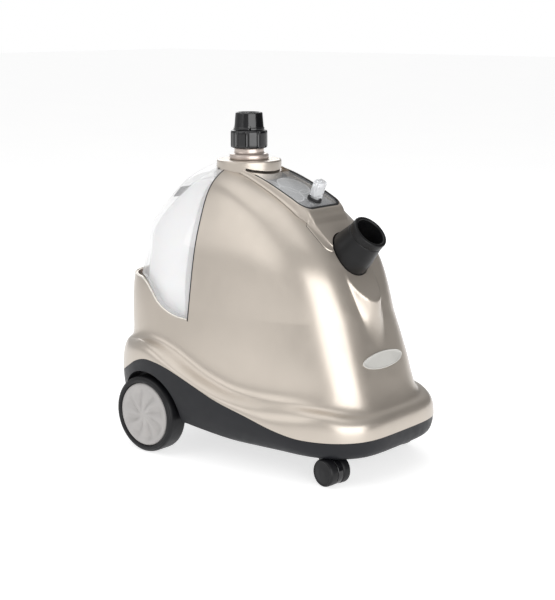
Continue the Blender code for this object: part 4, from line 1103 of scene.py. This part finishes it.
# Plain finishes: colour, roughness, grain and relief in millimetres, unevenness, the shader's other sockets.
MOULDED = {
    "charcoal": ((0.009, 0.0095, 0.012), 0.42, 0.5, 0.03, 0.06, {"Specular IOR Level": 0.3}),
    "black_gloss": ((0.004, 0.004, 0.005), 0.16, 1.2, 0.01, 0.06, {"Specular IOR Level": 0.6}),
    "matte_black": ((0.004, 0.004, 0.0045), 0.38, 0.5, 0.03, 0.06, {"Specular IOR Level": 0.3}),
    # Black for the window's gasket and the knob's seat, and also painted shade in the bead down the tank's
    # seam.
    "black_seal_and_seam_shade": ((0.012, 0.012, 0.013), 0.6, 0.5, 0.03, 0.06, {}),
    "rubber": ((0.005, 0.005, 0.006), 0.42, 0.4, 0.04, 0.06, {"Specular IOR Level": 0.32}),
    "cream": ((0.385, 0.37, 0.36), 0.42, 0.6, 0.02, 0.03, {}),
    "silver_plate": ((0.6, 0.59, 0.56), 0.36, 0.4, 0.01, 0.05, {"Metallic": 0.25}),
    "aluminium": ((0.62, 0.62, 0.63), 0.42, 0.8, 0.08, 0.05, {"Metallic": 1.0}),
    "steel": ((0.55, 0.55, 0.57), 0.28, 0.5, 0.02, 0.04, {"Metallic": 1.0}),
    "brass": ((0.72, 0.5, 0.2), 0.3, 0.5, 0.02, 0.05, {"Metallic": 1.0}),
    "silicone": ((0.72, 0.72, 0.69), 0.5, 0.5, 0.02, 0.03, {}),
    "ceramic": ((0.82, 0.8, 0.75), 0.55, 0.7, 0.03, 0.03, {}),
    # Paler champagne for the cup's lip: a painted highlight.
    "champagne_painted_highlight": ((0.8, 0.76, 0.7), 0.3, 0.5, 0.01, 0.03, {"Metallic": 0.3}),
    # Dark brown for the strip round the spine's foot: painted shade of the crease.
    "painted_crease_shade": ((0.05, 0.042, 0.036), 0.5, 0.5, 0.02, 0.05, {}),
    "smoke": ((0.2, 0.2, 0.205), 0.35, 0.6, 0.02, 0.04, {}),
    "clear": ((0.82, 0.82, 0.825), 0.05, 40, 0.05, 0.01,
        {"Alpha": 0.33, "Specular IOR Level": 1.0, "IOR": 1.8}),
    "pane": ((0.9, 0.91, 0.92), 0.05, 40, 0.05, 0.01, {"Alpha": 0.12, "Specular IOR Level": 1.0, "IOR": 1.8}),
    "clear_knob": ((0.95, 0.96, 0.98), 0.1, 12, 0.05, 0.01, {"Transmission Weight": 0.55, "IOR": 1.49}),
    # Frosted white with a faint white glow from Emission Strength: painted light that brightens the tank's
    # liner and the other parts in this finish.
    "frosted": ((0.95, 0.95, 0.955), 0.4, 0.8, 0.03, 0.02,
        {"Subsurface Weight": 0.2, "Subsurface Scale": 0.004, "Emission Strength": 0.18}),
}


class Finish:
    """A node material on object coordinates, whose colour, roughness and grain vary over the surface."""

    def __init__(self, name, colour, roughness, sockets):
        self.material = bpy.data.materials.new(name)
        self.material.use_nodes = True
        self.tree = self.material.node_tree
        self.shader = self.tree.nodes["Principled BSDF"]
        self.shader.inputs["Base Color"].default_value = (*colour, 1)
        self.shader.inputs["Roughness"].default_value = roughness
        for socket, value in sockets.items():
            self.shader.inputs[socket].default_value = value
        self.where = self.tree.nodes.new("ShaderNodeTexCoord").outputs["Object"]
        self.height = None

    def link(self, start, end):
        self.tree.links.new(start, end)

    def noise(self, size, detail=2.0):
        """A noise whose features are about size millimetres across."""
        node = self.tree.nodes.new("ShaderNodeTexNoise")
        node.inputs["Scale"].default_value = 1 / (size * MM)
        node.inputs["Detail"].default_value = detail
        self.link(self.where, node.inputs["Vector"])
        return node.outputs["Fac"]

    def cells(self, size):
        """The distance to the nearest of many scattered points, about size millimetres apart."""
        node = self.tree.nodes.new("ShaderNodeTexVoronoi")
        node.inputs["Scale"].default_value = 1 / (size * MM)
        self.link(self.where, node.inputs["Vector"])
        return node.outputs["Distance"]

    def spread(self, value, low, high, start=0.3, end=0.7):
        """Maps a varying value to the range low to high."""
        node = self.tree.nodes.new("ShaderNodeMapRange")
        node.inputs["From Min"].default_value = start
        node.inputs["From Max"].default_value = end
        node.inputs["To Min"].default_value = low
        node.inputs["To Max"].default_value = high
        self.link(value, node.inputs["Value"])
        return node.outputs["Result"]

    def math(self, operation, first, second):
        """Joins two varying values by an operation, such as a sum."""
        node = self.tree.nodes.new("ShaderNodeMath")
        node.operation = operation
        self.link(first, node.inputs[0])
        self.link(second, node.inputs[1])
        return node.outputs["Value"]

    def tint(self, value, colour, other):
        """Base colour that runs between two colours with a varying value."""
        node = self.tree.nodes.new("ShaderNodeMix")
        node.data_type = "RGBA"
        self.link(value, node.inputs["Factor"])
        for name, wanted in (("A", colour), ("B", other)):
            socket = [i for i in node.inputs if i.name == name and i.type == "RGBA"][0]
            socket.default_value = (*wanted, 1)
        made = [o for o in node.outputs if o.type == "RGBA"][0]
        self.link(made, self.shader.inputs["Base Color"])

    def rough(self, value, low, high):
        self.link(self.spread(value, low, high), self.shader.inputs["Roughness"])

    def bump(self, value, depth, strength=1.0):
        """Relief of depth millimetres. Each call adds to the last."""
        node = self.tree.nodes.new("ShaderNodeBump")
        node.inputs["Distance"].default_value = depth * MM
        node.inputs["Strength"].default_value = strength
        self.link(value, node.inputs["Height"])
        if self.height:
            self.link(self.height, node.inputs["Normal"])
        self.height = node.outputs["Normal"]
        self.link(self.height, self.shader.inputs["Normal"])


def shifted(colour, factor):
    return tuple(min(1.0, c * factor) for c in colour)


def moulded(name, colour, roughness, grain, relief, spread, sockets):
    """Moulded plastic, rubber or metal with a fine grain and slight unevenness of colour and gloss."""
    finish = Finish(name, colour, roughness, sockets)
    unevenness = finish.spread(finish.noise(28, 3), 0, 1)
    finish.tint(unevenness, shifted(colour, 1 - spread), shifted(colour, 1 + spread))
    finish.rough(finish.noise(9, 4), roughness * 0.86, min(1.0, roughness * 1.16))
    finish.bump(finish.noise(grain, 2), relief, 0.6)
    return finish


def pearl(name, colour):
    """Pearl lacquer: fine flakes under a clear coat."""
    coat = {"Metallic": 0.7, "Coat Weight": 0.35, "Coat Roughness": 0.16, "Coat IOR": 1.45}
    finish = Finish(name, colour, 0.34, coat)
    flakes = finish.spread(finish.cells(0.5), 0.3, 0.7, 0.1, 0.8)
    slow = finish.spread(finish.noise(60, 2), -0.3, 0.3)
    blend = finish.math("ADD", flakes, slow)
    finish.tint(blend, shifted(colour, 0.95), shifted(colour, 1.05))
    finish.rough(finish.noise(14, 3), 0.31, 0.37)
    finish.bump(finish.noise(22, 1), 0.02, 0.35)
    return finish


def make_materials():
    made = {"champagne": pearl("champagne", (0.53, 0.475, 0.415)),
            "champagne_pink": pearl("champagne_pink", (0.56, 0.48, 0.43))}
    for name, row in MOULDED.items():
        made[name] = moulded(name, *row)
    made["silver_print"] = silver_print()
    return {name: finish.material for name, finish in made.items()}


def silver_print():
    """The silver panel under the window, with a print of overlapping discs and small specks."""
    finish = Finish("silver_print", (0.5, 0.5, 0.51), 0.38, {"Metallic": 0.2})
    discs = None
    for x, y, radius in PRINT_DISCS:
        mapping = finish.tree.nodes.new("ShaderNodeMapping")
        mapping.inputs["Location"].default_value = (-x, -y, 0)
        mapping.inputs["Scale"].default_value = (1, 1, 0)
        finish.link(finish.where, mapping.inputs["Vector"])
        length = finish.tree.nodes.new("ShaderNodeVectorMath")
        length.operation = "LENGTH"
        finish.link(mapping.outputs["Vector"], length.inputs[0])
        distance = length.outputs["Value"]
        fill = finish.spread(distance, 0.35, 0.0, radius - 0.0003, radius)
        edge = finish.math("SUBTRACT", finish.spread(distance, 0.6, 0.0, radius, radius + 0.0008),
                           finish.spread(distance, 0.6, 0.0, radius - 0.0012, radius - 0.0004))
        ring = finish.math("ADD", fill, edge)
        discs = ring if discs is None else finish.math("MAXIMUM", discs, ring)
    specks = finish.spread(finish.cells(3.1), 0.7, 0.0, 0.1, 0.2)
    print_value = finish.math("MAXIMUM", discs, specks)
    finish.tint(print_value, (0.25, 0.253, 0.26), (0.82, 0.83, 0.84))
    finish.rough(finish.noise(6, 3), 0.32, 0.42)
    finish.bump(finish.noise(0.5, 2), 0.01, 0.5)
    return finish


# ---------------------------------------------------------------- camera, floor and light


def build_camera():
    """The product's view: from the front left, a little above its middle."""
    camera = bpy.data.cameras.new("camera")
    camera.lens, camera.sensor_width = CAMERA_LENS
    obj = bpy.data.objects.new("camera", camera)
    obj.location = CAMERA_PLACE
    azimuth, elevation = (math.radians(angle) for angle in CAMERA_ANGLES)
    forward = Vector((math.cos(azimuth) * math.cos(elevation), math.sin(azimuth) * math.cos(elevation),
                      -math.sin(elevation)))
    obj.rotation_mode = "QUATERNION"
    obj.rotation_quaternion = forward.to_track_quat("-Z", "Y")
    camera.clip_start = 0.05
    camera.clip_end = 50
    bpy.context.scene.collection.objects.link(obj)
    bpy.context.scene.camera = obj


def build_floor():
    """A plain pale floor."""
    mesh = bpy.data.meshes.new("floor")
    corners = [(x * FLOOR_HALF, y * FLOOR_HALF, 0) for x, y in ((-1, -1), (1, -1), (1, 1), (-1, 1))]
    mesh.from_pydata(corners, [], [(0, 1, 2, 3)])
    floor = bpy.data.objects.new("floor", mesh)
    bpy.context.scene.collection.objects.link(floor)
    glow = {"Emission Color": (1, 1, 1, 1), "Emission Strength": FLOOR_GLOW}
    finish = Finish("floor", (0.6, 0.6, 0.6), 0.8, glow)
    finish.tint(finish.spread(finish.noise(400, 2), 0, 1), (0.59, 0.59, 0.595), (0.61, 0.61, 0.605))
    mesh.materials.append(finish.material)


def lamp(name, place, target, size, power):
    """A soft white area light."""
    light = bpy.data.lights.new(name, "AREA")
    light.shape = "RECTANGLE"
    light.size, light.size_y = size
    light.energy = power
    obj = bpy.data.objects.new(name, light)
    obj.location = place
    obj.rotation_mode = "QUATERNION"
    obj.rotation_quaternion = (Vector(target) - Vector(place)).to_track_quat("-Z", "Y")
    bpy.context.scene.collection.objects.link(obj)


def build_light():
    """A white studio, dimmer on the right, with soft lamps aimed at the model."""
    scene = bpy.context.scene
    scene.view_settings.view_transform = "Standard"
    world = bpy.data.worlds.new("studio")
    world.use_nodes = True
    nodes, links = world.node_tree.nodes, world.node_tree.links
    where = nodes.new("ShaderNodeTexCoord")
    facing = nodes.new("ShaderNodeVectorMath")
    facing.operation = "DOT_PRODUCT"
    facing.inputs[1].default_value = Vector(WORLD_DIM_SIDE).normalized()
    links.new(where.outputs["Generated"], facing.inputs[0])
    dim = nodes.new("ShaderNodeMapRange")
    dim.interpolation_type = "SMOOTHSTEP"
    dim.inputs["From Min"].default_value, dim.inputs["From Max"].default_value = WORLD_FADE
    dim.inputs["To Min"].default_value = WORLD_BRIGHT
    dim.inputs["To Max"].default_value = WORLD_DIM
    links.new(facing.outputs["Value"], dim.inputs["Value"])
    seen = nodes.new("ShaderNodeLightPath")
    mix = nodes.new("ShaderNodeMix")
    mix.inputs["B"].default_value = 1.0
    links.new(seen.outputs["Is Camera Ray"], mix.inputs["Factor"])
    links.new(dim.outputs["Result"], mix.inputs["A"])
    background = nodes["Background"]
    background.inputs["Color"].default_value = (1, 1, 1, 1)
    links.new(mix.outputs["Result"], background.inputs["Strength"])
    scene.world = world
    for name, place, size, power in LAMPS:
        lamp(name, place, LAMP_TARGET, size, power)


MATERIALS = make_materials()
for build in (build_camera, build_floor, build_light, build_housing, build_seam, build_spine, build_pan,
              build_tank, build_bay, build_pole_socket, build_hose_socket, build_wheels, build_casters,
              build_window, build_knob, build_badge, build_spring):
    build()

CAD_FINISHES = {
    "steel": ("pan_screw_1", "pan_screw_2", "pan_screw_3", "pan_screw_4", "rear_axle", "axle_clip_left",
              "axle_clip_right", "heating_element", "heat_shield", "thermostat"),
    "charcoal": ("tank_cap", "control_switch"),
    "silicone": ("cap_seal", "steam_tube", "feed_tube"),
    "frosted": ("valve_plunger", "valve_guide", "water_seat"),
    "brass": ("steam_nipple",),
    "aluminium": ("boiler_body", "boiler_lid"),
    "ceramic": ("thermal_fuse", "terminal_block"),
    "rubber": ("cable_gland",),
    "black_gloss": ("drain_plug",),
}
for finish_name, nodes in CAD_FINISHES.items():
    for node in nodes:
        node_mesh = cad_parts[node].data
        node_mesh.materials.clear()
        node_mesh.materials.append(MATERIALS[finish_name])
